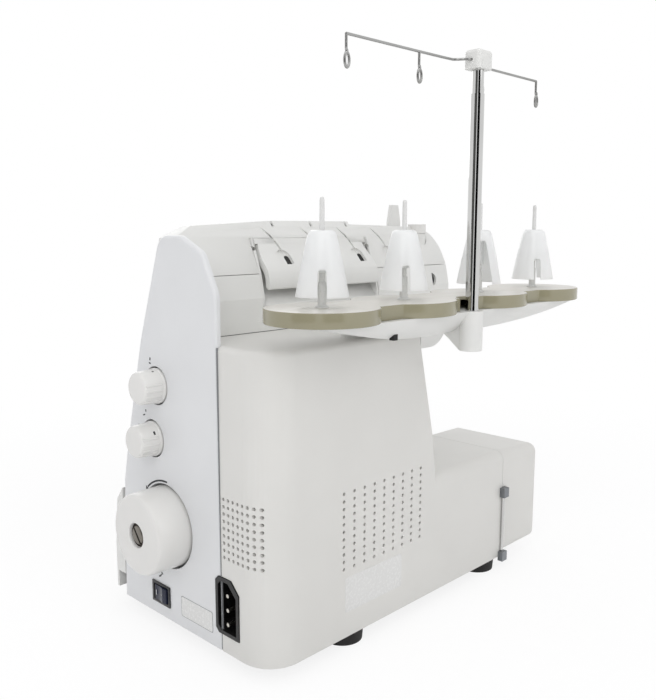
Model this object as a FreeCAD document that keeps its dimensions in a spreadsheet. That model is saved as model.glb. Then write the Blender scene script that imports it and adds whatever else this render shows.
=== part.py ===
"""A free-arm overlock sewing machine with its thread stand, as a parametric document (millimetres).

+X points to the handwheel side, +Y to the rear, +Z up. The origin lies on the floor, under the middle
of the machine. Places inside the machine are given as three distances: across(d) is d inboard of the end
cover's outer face, ahead(d) is d in front of the rear face, and above(d) is d above the casing's underside.
"""
import FreeCAD, Part
import math
import os
import Sketcher

V = FreeCAD.Vector
DOC = FreeCAD.newDocument("Overlock")

SIZES = {
    # the whole machine
    "overall_width": 346.0, "overall_depth": 231.2, "wheel_proud": 25.0, "tray_overhang": 53.2,
    "foot_height": 12.0, "wall": 2.5, "seam": 0.4, "fit_gap": 0.3, "running_gap": 0.05,
    # end cover, as distances ahead of the rear face and above the underside
    "end_rear": 47.0, "end_shoulder_up": 236.0, "end_neck_ahead": 60.0, "end_neck_up": 262.0,
    "end_crown_ahead": 83.0, "end_crown_up": 272.5, "end_thick": 4.0, "end_edge_round": 2.2,
    "front_top_ahead": 107.0, "front_brow_ahead": 134.0, "front_brow_up": 199.0,
    "front_chest_ahead": 155.0, "front_chest_up": 123.0, "front_knee_ahead": 162.0,
    "front_toe_ahead": 166.0, "front_inset": 1.5,
    # rear cover: the column with its ledge, and the free arm
    "ledge_up": 204.0, "ledge_depth": 80.0, "ledge_inset": 1.0, "column_top_across": 145.0,
    "column_knee_across": 163.0, "column_knee_up": 127.0, "column_foot_across": 168.0,
    "bed_up": 92.0, "swing_from": 262.5, "corner_round": 24.0, "bed_round": 8.0,
    "ledge_round": 4.0,
    "side_vent_columns": 8, "side_vent_rows": 9, "side_vent_pitch": 4.67, "side_vent_row_pitch": 4.9,
    "side_vent_first": 10.6, "side_vent_up": 66.0, "rear_vent_columns": 9, "rear_vent_rows": 11,
    "rear_vent_pitch": 10.3, "rear_vent_row_pitch": 5.3, "rear_vent_first": 67.6,
    "rear_vent_up": 49.5, "vent_radius": 1.25,
    # upper body: arm and head
    "head_up": 172.0, "head_end_across": 290.0, "roll_up": 228.0, "seam_up": 245.0,
    "seam_ahead": 83.5, "brow_ahead": 96.0, "brow_up": 272.0, "ridge_ahead": 104.0, "ridge_up": 282.6,
    "crown_start": 22.0, "crown_start_ahead": 106.0,
    "crown_ahead": 110.0, "crown_up": 278.0, "crown_drop": 12.0, "step_across": 181.0,
    "step_drop": 2.4, "head_round": 26.0, "parting_ahead": 113.0,
    "panel_rise": 18.0, "body_across": 4.4,
    "head_right_across": 153.5, "slot_across": 267.0, "slot_up": 232.5, "slot_radius": 5.5,
    # swinging cloth plate cover with its rod
    "flat_depth": 76.0, "slope_ahead": 118.0, "slope_up": 70.0, "bed_front_ahead": 130.0,
    "swing_low": 2.7, "swing_fall": 4.0, "swing_round": 8.0, "swing_low_round": 6.0, "rod_radius": 1.3,
    "rod_low_up": -3.0, "rod_high_up": 61.0, "bracket_height": 8.0, "bracket_width": 7.0,
    "bracket_proud": 4.6,
    # base plate, feet and looper cover
    "base_thick": 4.0, "base_inset": 3.4, "base_front": 158.0, "foot_radius": 15.5, "foot_taper": 1.0,
    "foot_right_across": 86.0, "foot_left_across": 254.0, "foot_rear_ahead": 19.0,
    "foot_front_across": 30.0, "foot_front_ahead": 138.0, "looper_top_ahead": 130.6,
    "looper_shoulder": 174.0, "looper_front": 178.0, "looper_right_across": 0.8, "looper_low": 3.0,
    "looper_left_across": 261.5, "looper_brow_up": 74.0, "looper_brow": 14.0, "looper_side_ahead": 162.5,
    "hinge_pin_ahead": 171.0, "hinge_pin_up": 9.0,
    "hinge_pin_radius": 2.0, "hinge_eye_radius": 4.5, "hinge_eye_length": 8.0, "lug_thick": 8.0,
    "lug_right_across": 24.0, "lug_left_across": 238.0, "eye_right_across": 40.0,
    "eye_left_across": 222.0, "looper_slide": 3.5, "looper_end_free": 7.0,
    # handwheel and drive
    "wheel_ahead": 107.7, "wheel_up": 70.0, "wheel_radius": 29.0, "wheel_face_radius": 25.5,
    "wheel_recess_gap": 1.6, "wheel_inboard": 2.6, "wheel_hollow_radius": 9.0, "wheel_hollow": 3.0,
    "wheel_edge_round": 3.0, "wheel_step": 4.0, "wheel_hub_depth": 12.0,
    "screw_radius": 7.5, "screw_thick": 2.4, "screw_slot": 1.6,
    "shaft_radius": 6.0, "shaft_end_across": 182.0, "bearing_radius": 11.0,
    "pulley_radius": 26.0, "pulley_across": 44.0, "pulley_width": 10.0, "pulley_flange": 1.5,
    "motor_pulley_radius": 7.0, "motor_ahead": 45.0, "motor_up": 45.0, "motor_radius": 27.0,
    "motor_across": 66.0, "motor_length": 66.0, "motor_shaft_radius": 2.5, "belt_thick": 1.2,
    "motor_plate": 3.0,
    # dials, switch and inlet
    "upper_dial_ahead": 115.0, "upper_dial_up": 169.5, "lower_dial_ahead": 121.3, "lower_dial_up": 131.0,
    "dial_radius": 12.5, "dial_face_radius": 11.0, "dial_proud": 16.0, "dial_inboard": 2.6, "dial_recess_gap": 1.1,
    "dial_plate_across": 12.0, "dial_plate_thick": 3.0, "dial_flutes": 12,
    "flute_radius": 1.6, "spindle_radius": 3.0, "spindle_length": 18.0,
    "switch_ahead": 116.3, "switch_up": 17.0, "switch_wide": 22.0, "switch_high": 15.7,
    "switch_deep": 16.0, "switch_rim": 1.8, "switch_proud": 1.0, "rocker_wide": 16.0,
    "rocker_high": 11.0, "rocker_thick": 5.0,
    "rocker_proud": 2.2, "rocker_arc": 16.0, "rocker_dip": 0.6, "rocker_room": 10.0, "rocker_pivot": 2.5,
    "rocker_tilt": 7.0,
    "inlet_rear": 28.7, "inlet_front": 52.4, "inlet_low": 12.5, "inlet_top": 51.8,
    "inlet_chamfer": 8.0, "inlet_small_chamfer": 3.0, "inlet_deep": 22.0, "inlet_proud": 0.6,
    "inlet_wall": 2.6, "inlet_cavity": 17.0, "inlet_pin_ahead": 41.0, "inlet_pin_up": 20.0,
    "inlet_pin_pitch": 10.0, "inlet_pin_radius": 1.3, "inlet_pin_length": 16.5,
    # thread stand
    "tray_rise": 27.0, "tray_thick": 9.0, "tray_wall": 2.4, "lobe_radius": 35.0, "lobe_near": 43.3,
    "lobe_far": 119.0, "lobe_behind": 18.2, "neck_wide": 44.0,
    "hull_length": 280.0, "hull_wide": 62.0, "hull_ahead": 4.0, "hull_boss": 9.0, "boss_spread": 52.0,
    "pole_across": 147.7, "pole_behind": 42.3, "socket_radius": 7.7, "socket_drop": 36.0,
    "web_thick": 7.0, "web_reach": 31.0, "notch_radius": 10.5, "pole_radius": 4.5, "pole_wall": 0.6,
    "pole_drop": 33.0, "pole_long": 165.0, "inner_hidden_long": 123.0,
    "inner_cap_long": 2.0,
    "cap_gap": 15.0, "cap_tall": 12.0, "cap_wide": 16.0, "cap_deep": 12.0, "cap_round": 2.5,
    "wire_seat_high": 5.5, "wire_radius": 0.9, "wire_shift": 9.5, "wire_bend": 4.0,
    "loop_first": 33.0, "loop_second": 98.0, "loop_third": 165.0, "loop_fourth": 236.0,
    "loop_wide": 5.4, "loop_long": 14.0, "loop_drop": 19.0,
    "pin_step": 15.0, "pin_low_radius": 2.4, "pin_radius": 1.6, "pin_middle_radius": 1.8,
    "pin_tall": 64.0, "pin_free_long": 18.0,
    "cone_foot": 6.4, "cone_tall": 38.6, "cone_radius": 16.0, "cone_top_radius": 7.7,
    "cone_wall": 1.0, "cone_slot": 9.0, "cone_tube_radius": 3.4, "cone_rib": 1.0,
    # carry handle and its well
    "handle_right": 72.0, "handle_left": 190.0, "handle_arm_wide": 8.0, "grip_low": 233.0,
    "grip_high": 248.0, "grip_deep": 9.0, "grip_proud": 3.0, "handle_gap": 1.6, "well_wall": 2.0,
    "well_low": 224.0, "well_front": 99.0, "pivot_ahead": 92.5, "pivot_up": 262.0,
    "pivot_radius": 2.5, "arm_thick": 7.0, "arm_end_radius": 4.0, "grip_round": 3.0,
    "well_head": 8.0, "well_roof_ahead": 93.0, "well_inset": 0.6,
    # thread path on the top and the head
    "groove_first": 97.0, "groove_pitch": 40.0, "groove_count": 4, "groove_wide": 2.6, "groove_deep": 1.2,
    "notch_up": 256.0, "guide_across": 242.5,
    "guide_ahead": 106.0, "guide_low": 272.0, "guide_high": 297.0, "guide_wide": 15.0,
    "guide_top_wide": 9.0, "guide_thick": 3.0, "knob_across": 268.0, "knob_ahead": 100.0,
    "knob_radius": 8.0, "knob_high": 280.5, "knob_low": 262.0, "knob_stem": 3.0,
    "knob_seat": 246.3, "groove_fall": 3.0,
    # tension dials
    "tension_radius": 13.0, "tension_wide": 8.0, "tension_proud": 5.0, "tension_up": 233.5,
    "tension_flutes": 24, "tension_slot_wide": 10.0,
    "tension_slot_long": 31.0, "tension_spindle_radius": 2.5,
    # main frame
    "frame_rear": 86.0, "frame_front": 126.0, "frame_wall": 7.0, "frame_floor": 6.0,
    "frame_right_across": 20.0, "frame_column_across": 128.0, "frame_bed_across": 168.0, "arm_beam_up": 196.0,
    "arm_beam_thick": 10.0, "frame_floor_end": 256.0, "guide_block_up": 222.0,
    "arm_beam_end": 262.0, "post_thick": 5.0, "post_right": 62.0,
    "post_left": 250.0, "looper_plate_front": 103.0, "looper_plate_up": 62.0,
    # sewing parts
    "needle_across": 235.0, "needle_ahead": 110.0, "presser_ahead": 93.0, "bar_radius": 3.5,
    "needle_bar_low": 127.0, "needle_bar_high": 226.0, "clamp_wide": 12.0,
    "clamp_deep": 9.0, "clamp_high": 11.0, "needle_pitch": 4.0, "needle_radius": 0.6,
    "needle_long": 30.0, "presser_low": 112.0, "presser_high": 246.0,
    "toe_wide": 18.0, "toe_thick": 2.4, "toe_rear": 84.0, "toe_front": 124.0, "ankle_wide": 8.0,
    "lever_across": 246.0, "lever_ahead": 90.0, "lever_up": 184.0, "lever_thick": 4.0,
    "lever_hub": 6.0, "lever_reach": 9.0, "lever_drop": 10.0, "lever_width": 9.0,
    "plate_right": 205.0, "plate_left": 259.0, "plate_rear": 84.0, "plate_front": 126.0,
    "plate_thick": 2.0, "cloth_plate_thick": 4.0, "cloth_plate_right": 168.4, "plate_lip": 2.0,
    "dog_row_wide": 3.0, "dog_row_spread": 9.0, "dog_rear": 89.5, "dog_front": 102.5,
    "dog_travel": 2.5, "dog_tall": 8.0, "dog_below": 0.4, "dog_slot_gap": 0.6, "looper_blade": 3.0,
    "lower_looper_across": 198.0, "lower_looper_up": 24.0, "lower_looper_reach": 46.0,
    "upper_looper_across": 186.0, "upper_looper_up": 42.0, "upper_looper_reach": 48.0,
    "looper_stud_radius": 3.0, "looper_hub_thick": 5.0,
    "lower_looper_rise": 48.0, "upper_looper_rise": 36.0, "looper_hub_radius": 6.5,
    "lower_looper_ahead": 116.0, "upper_looper_ahead": 123.0,
    "knife_across": 214.0, "knife_thick": 1.6, "knife_rear": 104.0, "knife_front": 116.0,
    "knife_top": 106.0, "knife_pivot_ahead": 141.0, "knife_pivot_up": 48.0, "fixed_knife_across": 216.2, "fixed_knife_low": 80.0,
    "lamp_across": 196.0, "lamp_ahead": 92.0, "lamp_long": 22.0, "lamp_deep": 12.0, "lamp_high": 4.0,

}


class Length:
    """A length of the sheet, or a sum made of such lengths: its number and the formula that gives it."""

    def __init__(self, number, formula):
        self.number = float(number)
        self.formula = formula

    def __add__(self, other):
        return join(self, other, "+", lambda a, b: a + b)

    def __radd__(self, other):
        return join(other, self, "+", lambda a, b: a + b)

    def __sub__(self, other):
        return join(self, other, "-", lambda a, b: a - b)

    def __rsub__(self, other):
        return join(other, self, "-", lambda a, b: a - b)

    def __mul__(self, other):
        return join(self, other, "*", lambda a, b: a * b)

    def __rmul__(self, other):
        return join(other, self, "*", lambda a, b: a * b)

    def __truediv__(self, other):
        return join(self, other, "/", lambda a, b: a / b)

    def __neg__(self):
        return Length(-self.number, f"(0 - {self.formula})")


def length(value):
    """The value as a Length, whether it is one or a plain number."""
    return value if isinstance(value, Length) else Length(value, repr(float(value)))


def join(left, right, sign, work):
    """One Length out of two, by one arithmetic sign."""
    left, right = length(left), length(right)
    return Length(work(left.number, right.number), f"({left.formula} {sign} {right.formula})")


def root(value):
    """The square root of a Length."""
    return Length(math.sqrt(value.number), f"sqrt({value.formula})")


class Sheet:
    """The spreadsheet of driving sizes, read as attributes."""

    def __init__(self):
        sheet = DOC.addObject("Spreadsheet::Sheet", "Sizes")
        for row, (name, value) in enumerate(SIZES.items(), start=1):
            sheet.set(f"A{row}", name)
            sheet.set(f"B{row}", str(value))
            sheet.setAlias(f"B{row}", name)
            setattr(self, name, Length(value, f"Sizes.{name}"))
        DOC.recompute()


s = Sheet()
NODES = []

SIDE = s.overall_width / 2 - s.wheel_proud
REAR = s.overall_depth / 2 - s.tray_overhang
END = s.overall_width - s.wheel_proud
SEAM = s.swing_from
PANEL_FOOT = s.head_up + s.panel_rise
TRAY = s.ledge_up + s.tray_rise
POLE_FLOOR = TRAY - s.pole_drop
POLE_TOP = POLE_FLOOR + s.pole_long
CAP_LOW = POLE_TOP + s.cap_gap


def across(distance):
    """X at a distance inboard of the end cover's outer face."""
    return SIDE - distance


def ahead(distance):
    """Y at a distance in front of the rear face."""
    return REAR - distance


def above(distance):
    """Z at a distance above the casing's underside."""
    return s.foot_height + distance


# ---- tools for making objects whose sizes are tied to the sheet ----

def tie(item, prop, value):
    """Bind one property of an object to a Length, or set it to a plain number."""
    if isinstance(value, Length):
        item.setExpression(prop, value.formula)
    else:
        setattr(item, prop, value)


def put(item, place):
    """Bind the place of an object's origin."""
    for axis, value in zip("xyz", place):
        item.setExpression(f"Placement.Base.{axis}", length(value).formula)


def box(name, low, high):
    """A block between two corners."""
    item = DOC.addObject("Part::Box", name)
    for prop, start, end in zip(("Length", "Width", "Height"), low, high):
        tie(item, prop, length(end) - length(start))
    put(item, low)
    return item


AXIS_TURNS = {
    "X": FreeCAD.Rotation(V(0, 1, 0), 90),
    "Y": FreeCAD.Rotation(V(1, 0, 0), -90),
    "Z": FreeCAD.Rotation(),
}


def rod(name, axis, start, radius, long):
    """A cylinder from a start point towards plus X, Y or Z."""
    item = DOC.addObject("Part::Cylinder", name)
    item.Placement = FreeCAD.Placement(V(), AXIS_TURNS[axis])
    tie(item, "Radius", radius)
    tie(item, "Height", long)
    put(item, start)
    return item


def taper(name, axis, start, radius, end_radius, long):
    """A cone frustum from a start point towards plus X, Y or Z."""
    item = DOC.addObject("Part::Cone", name)
    item.Placement = FreeCAD.Placement(V(), AXIS_TURNS[axis])
    tie(item, "Radius1", radius)
    tie(item, "Radius2", end_radius)
    tie(item, "Height", long)
    put(item, start)
    return item


def fuse(name, *items):
    """The union of several objects."""
    item = DOC.addObject("Part::MultiFuse", name)
    item.Shapes = list(items)
    item.Refine = True
    return item


def cut(name, base, *tools):
    """An object with one or more others taken out of it."""
    item = DOC.addObject("Part::Cut", name)
    item.Base = base
    item.Tool = tools[0] if len(tools) == 1 else fuse(f"{name}_tools", *tools)
    item.Refine = True
    return item


def common(name, base, tool):
    """What two objects share."""
    item = DOC.addObject("Part::Common", name)
    item.Base = base
    item.Tool = tool
    item.Refine = True
    return item


def group(name, items):
    """Several separate solids kept together as one object."""
    item = DOC.addObject("Part::Compound", name)
    item.Links = list(items)
    return item


PLANES = {"XY": ("XY_Plane", 1), "XZ": ("XZ_Plane", -1), "YZ": ("YZ_Plane", 1)}


def sketch(body, plane, corners, offset):
    """A closed outline of straight edges on an origin plane, each corner tied to two lengths."""
    role, side = PLANES[plane]
    item = body.newObject("Sketcher::SketchObject", f"{body.Name}_outline")
    origin_plane = next(f for f in body.Origin.OriginFeatures if f.Role == role)
    item.AttachmentSupport = [(origin_plane, "")]
    item.MapMode = "FlatFace"
    item.setExpression("AttachmentOffset.Base.z", (length(offset) * side).formula)
    points = [V(length(a).number, length(b).number, 0) for a, b in corners]
    for i, point in enumerate(points):
        item.addGeometry(Part.LineSegment(point, points[(i + 1) % len(points)]))
    for i in range(len(points)):
        item.addConstraint(Sketcher.Constraint("Coincident", i, 2, (i + 1) % len(points), 1))
    for i, corner in enumerate(corners):
        for axis, value in zip("XY", corner):
            number = length(value).number
            row = item.addConstraint(Sketcher.Constraint(f"Distance{axis}", -1, 1, i, 1, number))
            item.renameConstraint(row, f"corner{i}{axis}")
            if isinstance(value, Length):
                item.setExpression(f"Constraints.corner{i}{axis}", value.formula)
    return item


def prism(name, plane, corners, low, high):
    """A body: an outline on a plane, padded between two heights along the plane's axis."""
    body = DOC.addObject("PartDesign::Body", name)
    start = high if plane == "XZ" else low
    outline = sketch(body, plane, corners, start)
    pad = body.newObject("PartDesign::Pad", f"{name}_pad")
    pad.Profile = outline
    tie(pad, "Length", length(high) - length(low))
    DOC.recompute()
    return body


def trim(body, plane, corners, low, high):
    """Take a padded outline out of a body."""
    start = high if plane == "XZ" else low
    outline = sketch(body, plane, corners, start)
    pocket = body.newObject("PartDesign::Pocket", f"{body.Name}_trim")
    pocket.Profile = outline
    pocket.Reversed = True
    tie(pocket, "Length", length(high) - length(low))
    DOC.recompute()
    return body


def turned(name, profile, axis_place):
    """A body turned about a line along X: the profile gives distances along X and out from the line."""
    body = DOC.addObject("PartDesign::Body", name)
    outline = sketch(body, "XZ", profile, 0.0)
    spin = body.newObject("PartDesign::Revolution", f"{name}_spin")
    spin.Profile = outline
    spin.ReferenceAxis = (outline, ["H_Axis"])
    spin.Angle = 360.0
    put(body, axis_place)
    DOC.recompute()
    return body


def edge_names(shape, choose):
    """Names of the edges that a test picks, given each edge's middle point and direction."""
    names = []
    for i, edge in enumerate(shape.Edges, start=1):
        middle = (edge.FirstParameter + edge.LastParameter) / 2
        if not edge.Degenerated and choose(edge.valueAt(middle), edge.tangentAt(middle)):
            names.append(f"Edge{i}")
    return names


def soften(body, radius, choose, kind="Fillet"):
    """Round or chamfer the edges of a body that a test picks."""
    names = edge_names(body.Tip.Shape, choose)
    item = body.newObject(f"PartDesign::{kind}", f"{body.Name}_{kind.lower()}")
    item.Base = (body.Tip if item is not body.Tip else item.BaseFeature, names)
    tie(item, "Radius" if kind == "Fillet" else "Size", radius)
    DOC.recompute()
    return body


def face_names(shape, choose):
    """Names of the flat faces that a test picks, given each face's centre and outward normal."""
    names = []
    for i, face in enumerate(shape.Faces, start=1):
        if face.Surface.TypeId == "Part::GeomPlane" and choose(face.CenterOfMass, face.normalAt(0, 0)):
            names.append(f"Face{i}")
    return names


def hollow(body, wall, choose):
    """Turn a body into a shell that is open at the faces that a test picks."""
    base = body.Tip
    names = face_names(base.Shape, choose)
    item = body.newObject("PartDesign::Thickness", f"{body.Name}_shell")
    item.Base = (base, names)
    tie(item, "Value", wall)
    item.Reversed = True
    DOC.recompute()
    return body


def node(name, item):
    """Name an object as one of the machine's sub-parts."""
    item.Label = name
    NODES.append(item)
    return item


def near(value, place, slack=0.6):
    """Whether a number lies at a Length."""
    return abs(value - length(place).number) < slack


def along(direction, axis):
    """Whether a direction runs along X, Y or Z."""
    return abs(getattr(direction, axis)) > 0.99


# ---- casing ----

def front_line(inset):
    """The slanted front, from the brow down to the toe, as (ahead, up) corners moved back by an inset."""
    return [
        (ahead(s.front_brow_ahead - inset), above(s.front_brow_up)),
        (ahead(s.front_chest_ahead - inset), above(s.front_chest_up)),
        (ahead(s.front_knee_ahead - inset), above(s.bed_up)),
        (ahead(s.front_toe_ahead - inset), above(0.0)),
    ]


def end_cover():
    """The flat cover on the handwheel side, with its recess for the wheel and cut-outs for the fittings."""
    outline = [
        (ahead(s.end_rear), above(0.0)),
        (ahead(s.end_rear), above(s.end_shoulder_up)),
        (ahead(s.end_neck_ahead), above(s.end_neck_up)),
        (ahead(s.end_crown_ahead), above(s.end_crown_up)),
        (ahead(s.front_top_ahead), above(s.end_crown_up)),
    ] + front_line(0.0)
    body = prism("end_cover_body", "YZ", outline, across(s.end_thick), SIDE)
    soften(body, s.end_neck_ahead - s.end_rear, lambda p, d: along(d, "x") and (
        near(p.z, above(s.end_neck_up)) or near(p.z, above(s.end_shoulder_up))))
    soften(body, s.end_neck_ahead - s.end_rear, lambda p, d: along(d, "x") and p.z > (
        above(s.end_crown_up).number - 1))
    soften(body, s.end_edge_round, lambda p, d: near(p.x, SIDE, 0.01) and p.z > (
        above(0.0).number + 1))
    wheel_hole = rod("wheel_hole", "X", (across(s.end_thick * 2), ahead(s.wheel_ahead), above(s.wheel_up)),
                     s.wheel_radius + s.wheel_recess_gap, s.end_thick * 3)
    dial_holes = [
        rod(f"dial_hole_{i}", "X", (across(s.end_thick * 2), ahead(where), above(up)),
            s.dial_radius + s.dial_recess_gap, s.end_thick * 3)
        for i, (where, up) in enumerate(dial_places())
    ]
    switch_hole = box(
        "switch_hole",
        (across(s.end_thick * 2), ahead(s.switch_ahead) - s.switch_wide / 2 + s.switch_rim / 2,
         above(s.switch_up) - s.switch_high / 2 + s.switch_rim / 2),
        (SIDE + s.end_thick, ahead(s.switch_ahead) + s.switch_wide / 2 - s.switch_rim / 2,
         above(s.switch_up) + s.switch_high / 2 - s.switch_rim / 2))
    return node("end_cover", cut("end_cover_cut", body, wheel_hole, switch_hole, inlet_hole("end"),
                                 *dial_holes))


def dial_places():
    """Where the stitch length dial and the differential feed dial stand, as (ahead, up)."""
    return [(s.upper_dial_ahead, s.upper_dial_up), (s.lower_dial_ahead, s.lower_dial_up)]


def inlet_outline(grow):
    """The inlet's outline, with its large chamfer at the rear top, grown by a clearance."""
    rear, front = ahead(s.inlet_rear) + grow, ahead(s.inlet_front) - grow
    low, high = above(s.inlet_low) - grow, above(s.inlet_top) + grow
    large, small = s.inlet_chamfer, s.inlet_small_chamfer
    return [
        (front + small, low), (rear, low), (rear, high - large), (rear - large, high),
        (front + small, high), (front, high - small), (front, low + small),
    ]


def inlet_hole(name):
    """The cut-out that the inlet sits in."""
    return prism(f"inlet_hole_{name}", "YZ", inlet_outline(s.fit_gap), across(s.inlet_deep * 2),
                 SIDE + s.end_thick)


def vent_holes(name, axis, start, step, row_step, columns, rows):
    """A rectangular field of small holes."""
    holes = []
    for row in range(int(rows.number)):
        for column in range(int(columns.number)):
            place = [start[i] + step[i] * column + row_step[i] * row for i in range(3)]
            holes.append(rod(f"{name}_{row}_{column}", axis, place, s.vent_radius, s.corner_round))
    return group(name, holes)


def rear_cover():
    """The moulding behind the end cover: column, ledge and the rear of the free arm."""
    outline = [
        (SIDE, above(0.0)),
        (across(s.ledge_inset), above(s.ledge_up)),
        (across(s.column_top_across), above(s.ledge_up)),
        (across(s.column_knee_across), above(s.column_knee_up)),
        (across(s.column_foot_across), above(s.bed_up)),
        (across(SEAM) + s.seam / 2, above(s.bed_up)),
        (across(SEAM) + s.seam / 2, above(0.0)),
    ]
    body = prism("rear_cover_body", "XZ", outline, ahead(s.ledge_depth), REAR)
    soften(body, s.corner_round, lambda p, d: near(p.y, REAR) and p.x > (
        across(s.ledge_inset).number - 1) and abs(d.z) > 0.9)
    soften(body, s.bed_round, lambda p, d: near(p.y, REAR) and near(p.z, above(s.bed_up))
           and along(d, "x"))
    soften(body, s.ledge_round, lambda p, d: near(p.z, above(s.ledge_up)) and p.y > (
        ahead(s.ledge_depth).number + 1))
    hollow(body, s.wall, lambda p, n: n.z < -0.9 or n.y < -0.9 or (
        n.x < -0.9 and near(p.x, across(SEAM), 1.0)))
    end_room = box("end_cover_room", (across(s.end_thick + s.seam), ahead(s.ledge_depth + s.wall),
                                      above(-s.wall)),
                   (SIDE + s.wall, ahead(s.end_rear - s.seam), above(s.ledge_up + s.wall)))
    side_room = box("side_wall_room", (across(s.ledge_inset + s.wall * 2),
                                       ahead(s.ledge_depth + s.wall), above(-s.wall)),
                    (SIDE + s.wall, ahead(s.end_rear - s.seam), above(s.ledge_up - s.wall)))
    side_vents = vent_holes(
        "side_vents", "X", (across(s.corner_round - s.wall), ahead(s.side_vent_first), above(s.side_vent_up)),
        (0, -s.side_vent_pitch, 0), (0, 0, s.side_vent_row_pitch),
        s.side_vent_columns, s.side_vent_rows)
    rear_vents = vent_holes(
        "rear_vents", "Y", (across(s.rear_vent_first), ahead(s.wall * 3), above(s.rear_vent_up)),
        (-s.rear_vent_pitch, 0, 0), (0, 0, s.rear_vent_row_pitch),
        s.rear_vent_columns, s.rear_vent_rows)
    rim = box("below_rim", (across(s.overall_width), ahead(s.overall_width), above(-s.wall * 2)),
              (SIDE + s.wall, REAR + s.wall, above(0.0)))
    opened = cut("rear_cover_open", body, end_room, side_room, rim, inlet_hole("rear"))
    vented = cut("rear_cover_side", opened, side_vents)
    return node("rear_cover", cut("rear_cover_vented", vented, rear_vents))


def upper_form(name, inset):
    """The solid outer form of the arm and head, moved inwards by an inset on every side but the open end."""
    top = s.ridge_up - inset
    right, end = across(s.body_across - inset), across(s.head_end_across - inset)
    outline = [
        (right, above(s.head_up + inset)),
        (right, above(top - s.crown_drop)),
        (across(s.crown_start), above(top - s.crown_drop / 3)),
        (across(s.groove_first), above(top)),
        (across(s.step_across), above(top)),
        (across(s.step_across), above(top - s.step_drop)),
        (end, above(top - s.step_drop * 2)),
        (end, above(s.head_up + inset)),
    ]
    body = prism(name, "XZ", outline, ahead(s.front_chest_ahead), ahead(s.ledge_depth + inset))
    rear_slope = [
        (ahead(s.ledge_depth + inset), above(s.roll_up)),
        (ahead(s.seam_ahead + inset), above(s.seam_up)),
        (ahead(s.brow_ahead + inset), above(s.brow_up - inset / 2)),
        (ahead(s.ridge_ahead), above(top)),
        (ahead(s.ridge_ahead), above(s.end_crown_up + s.ledge_depth)),
        (REAR, above(s.end_crown_up + s.ledge_depth)),
        (REAR, above(s.roll_up)),
    ]
    trim(body, "YZ", rear_slope, across(s.overall_width), across(-s.wall))
    front_slope = [
        (ahead(s.crown_start_ahead), above(s.end_crown_up + s.ledge_depth)),
        (ahead(s.crown_start_ahead), above(top)),
        (ahead(s.crown_ahead - inset / 2), above(s.crown_up - inset)),
        (ahead(s.front_brow_ahead - s.front_inset - inset), above(s.front_brow_up)),
        (ahead(s.front_chest_ahead - s.front_inset - inset), above(s.front_chest_up)),
        (ahead(s.overall_width), above(s.front_chest_up)),
        (ahead(s.overall_width), above(s.end_crown_up + s.ledge_depth)),
    ]
    trim(body, "YZ", front_slope, across(s.overall_width), across(-s.wall))
    soften(body, s.head_round - inset, lambda p, d: near(p.x, end) and along(d, "y"))
    return body


def upper_shell(name):
    """The shell of the arm and head before it is parted into covers."""
    return cut(name, upper_form(f"{name}_outer", length(0.0)), upper_form(f"{name}_inner", s.wall))


def region(name, low_ahead, high_ahead, low_up, high_up, from_across=None, to_across=None):
    """A block that picks part of a shell: between two distances ahead, up and, if given, across."""
    right = across(from_across) if from_across is not None else SIDE + s.wall
    left = across(to_across) if to_across is not None else across(s.overall_width)
    return box(name, (left, ahead(high_ahead), above(low_up)), (right, ahead(low_ahead), above(high_up)))


def upper_covers():
    """The arm and head's shell, parted at its seam and at the front into three covers."""
    shell = upper_shell("upper_shell")
    half = s.seam / 2
    roof = s.ridge_up + s.wall
    parting, far = s.parting_ahead, s.overall_width
    lower_rear = region("lower_rear", s.ledge_depth - s.wall, parting - half, s.head_up - s.wall,
                        s.seam_up - half)
    lower_front = region("lower_front", parting - s.wall, far, s.head_up - s.wall,
                         PANEL_FOOT - half, s.head_right_across)
    body = common("upper_cover_body", shell, fuse("upper_cover_regions", lower_rear, lower_front))
    behind_ledge = region("behind_ledge", s.ledge_depth - s.wall, s.ledge_depth + s.wall * 2,
                          s.head_up - s.wall, s.ledge_up + s.seam, None, s.head_right_across)
    under_column = region("under_column", s.ledge_depth - s.wall, far, s.head_up - s.wall,
                          s.head_up + s.wall * 2, None, s.head_right_across)
    bars = region("bar_opening", s.presser_ahead - s.bar_radius - s.wall * 2, s.needle_ahead
                  + s.clamp_deep + s.wall, s.head_up - s.wall, s.head_up + s.wall * 2,
                  s.needle_across - s.clamp_wide, s.lever_across + s.lever_thick + s.fit_gap * 4)
    lever_slot = region("lever_slot", s.ledge_depth - s.wall, s.presser_ahead, s.head_up - s.wall,
                        s.lever_up + s.lever_hub * 3, s.lever_across - s.fit_gap * 4,
                        s.lever_across + s.lever_thick + s.fit_gap * 4)
    light_slot = head_slot()
    node("upper_cover", cut("upper_cover_cut", body, behind_ledge, under_column, bars, lever_slot,
                            light_slot, well_room("upper")))
    top_region = region("top_region", s.ledge_depth - s.wall, parting - half, s.seam_up + half, roof)
    top = common("top_cover_body", shell, top_region)
    guide_slot = box("guide_slot",
                     (across(s.guide_across + s.guide_wide / 2 + s.fit_gap),
                      ahead(s.guide_ahead) - s.guide_thick / 2 - s.fit_gap, above(s.guide_low)),
                     (across(s.guide_across - s.guide_wide / 2 - s.fit_gap),
                      ahead(s.guide_ahead) + s.guide_thick / 2 + s.fit_gap, above(roof)))
    knob_hole = rod("knob_hole", "Z", (across(s.knob_across), ahead(s.knob_ahead), above(s.knob_low)),
                    s.knob_radius + s.seam, s.knob_high)
    node("top_cover", cut("top_cover_cut", top, well_room("top"), guide_slot, knob_hole,
                          *thread_grooves()))
    panel_region = region("panel_region", parting + half, far, PANEL_FOOT + half, roof)
    panel = common("tension_panel_body", shell, panel_region)
    node("tension_panel", cut("tension_panel_cut", panel, *tension_slots()))


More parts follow.
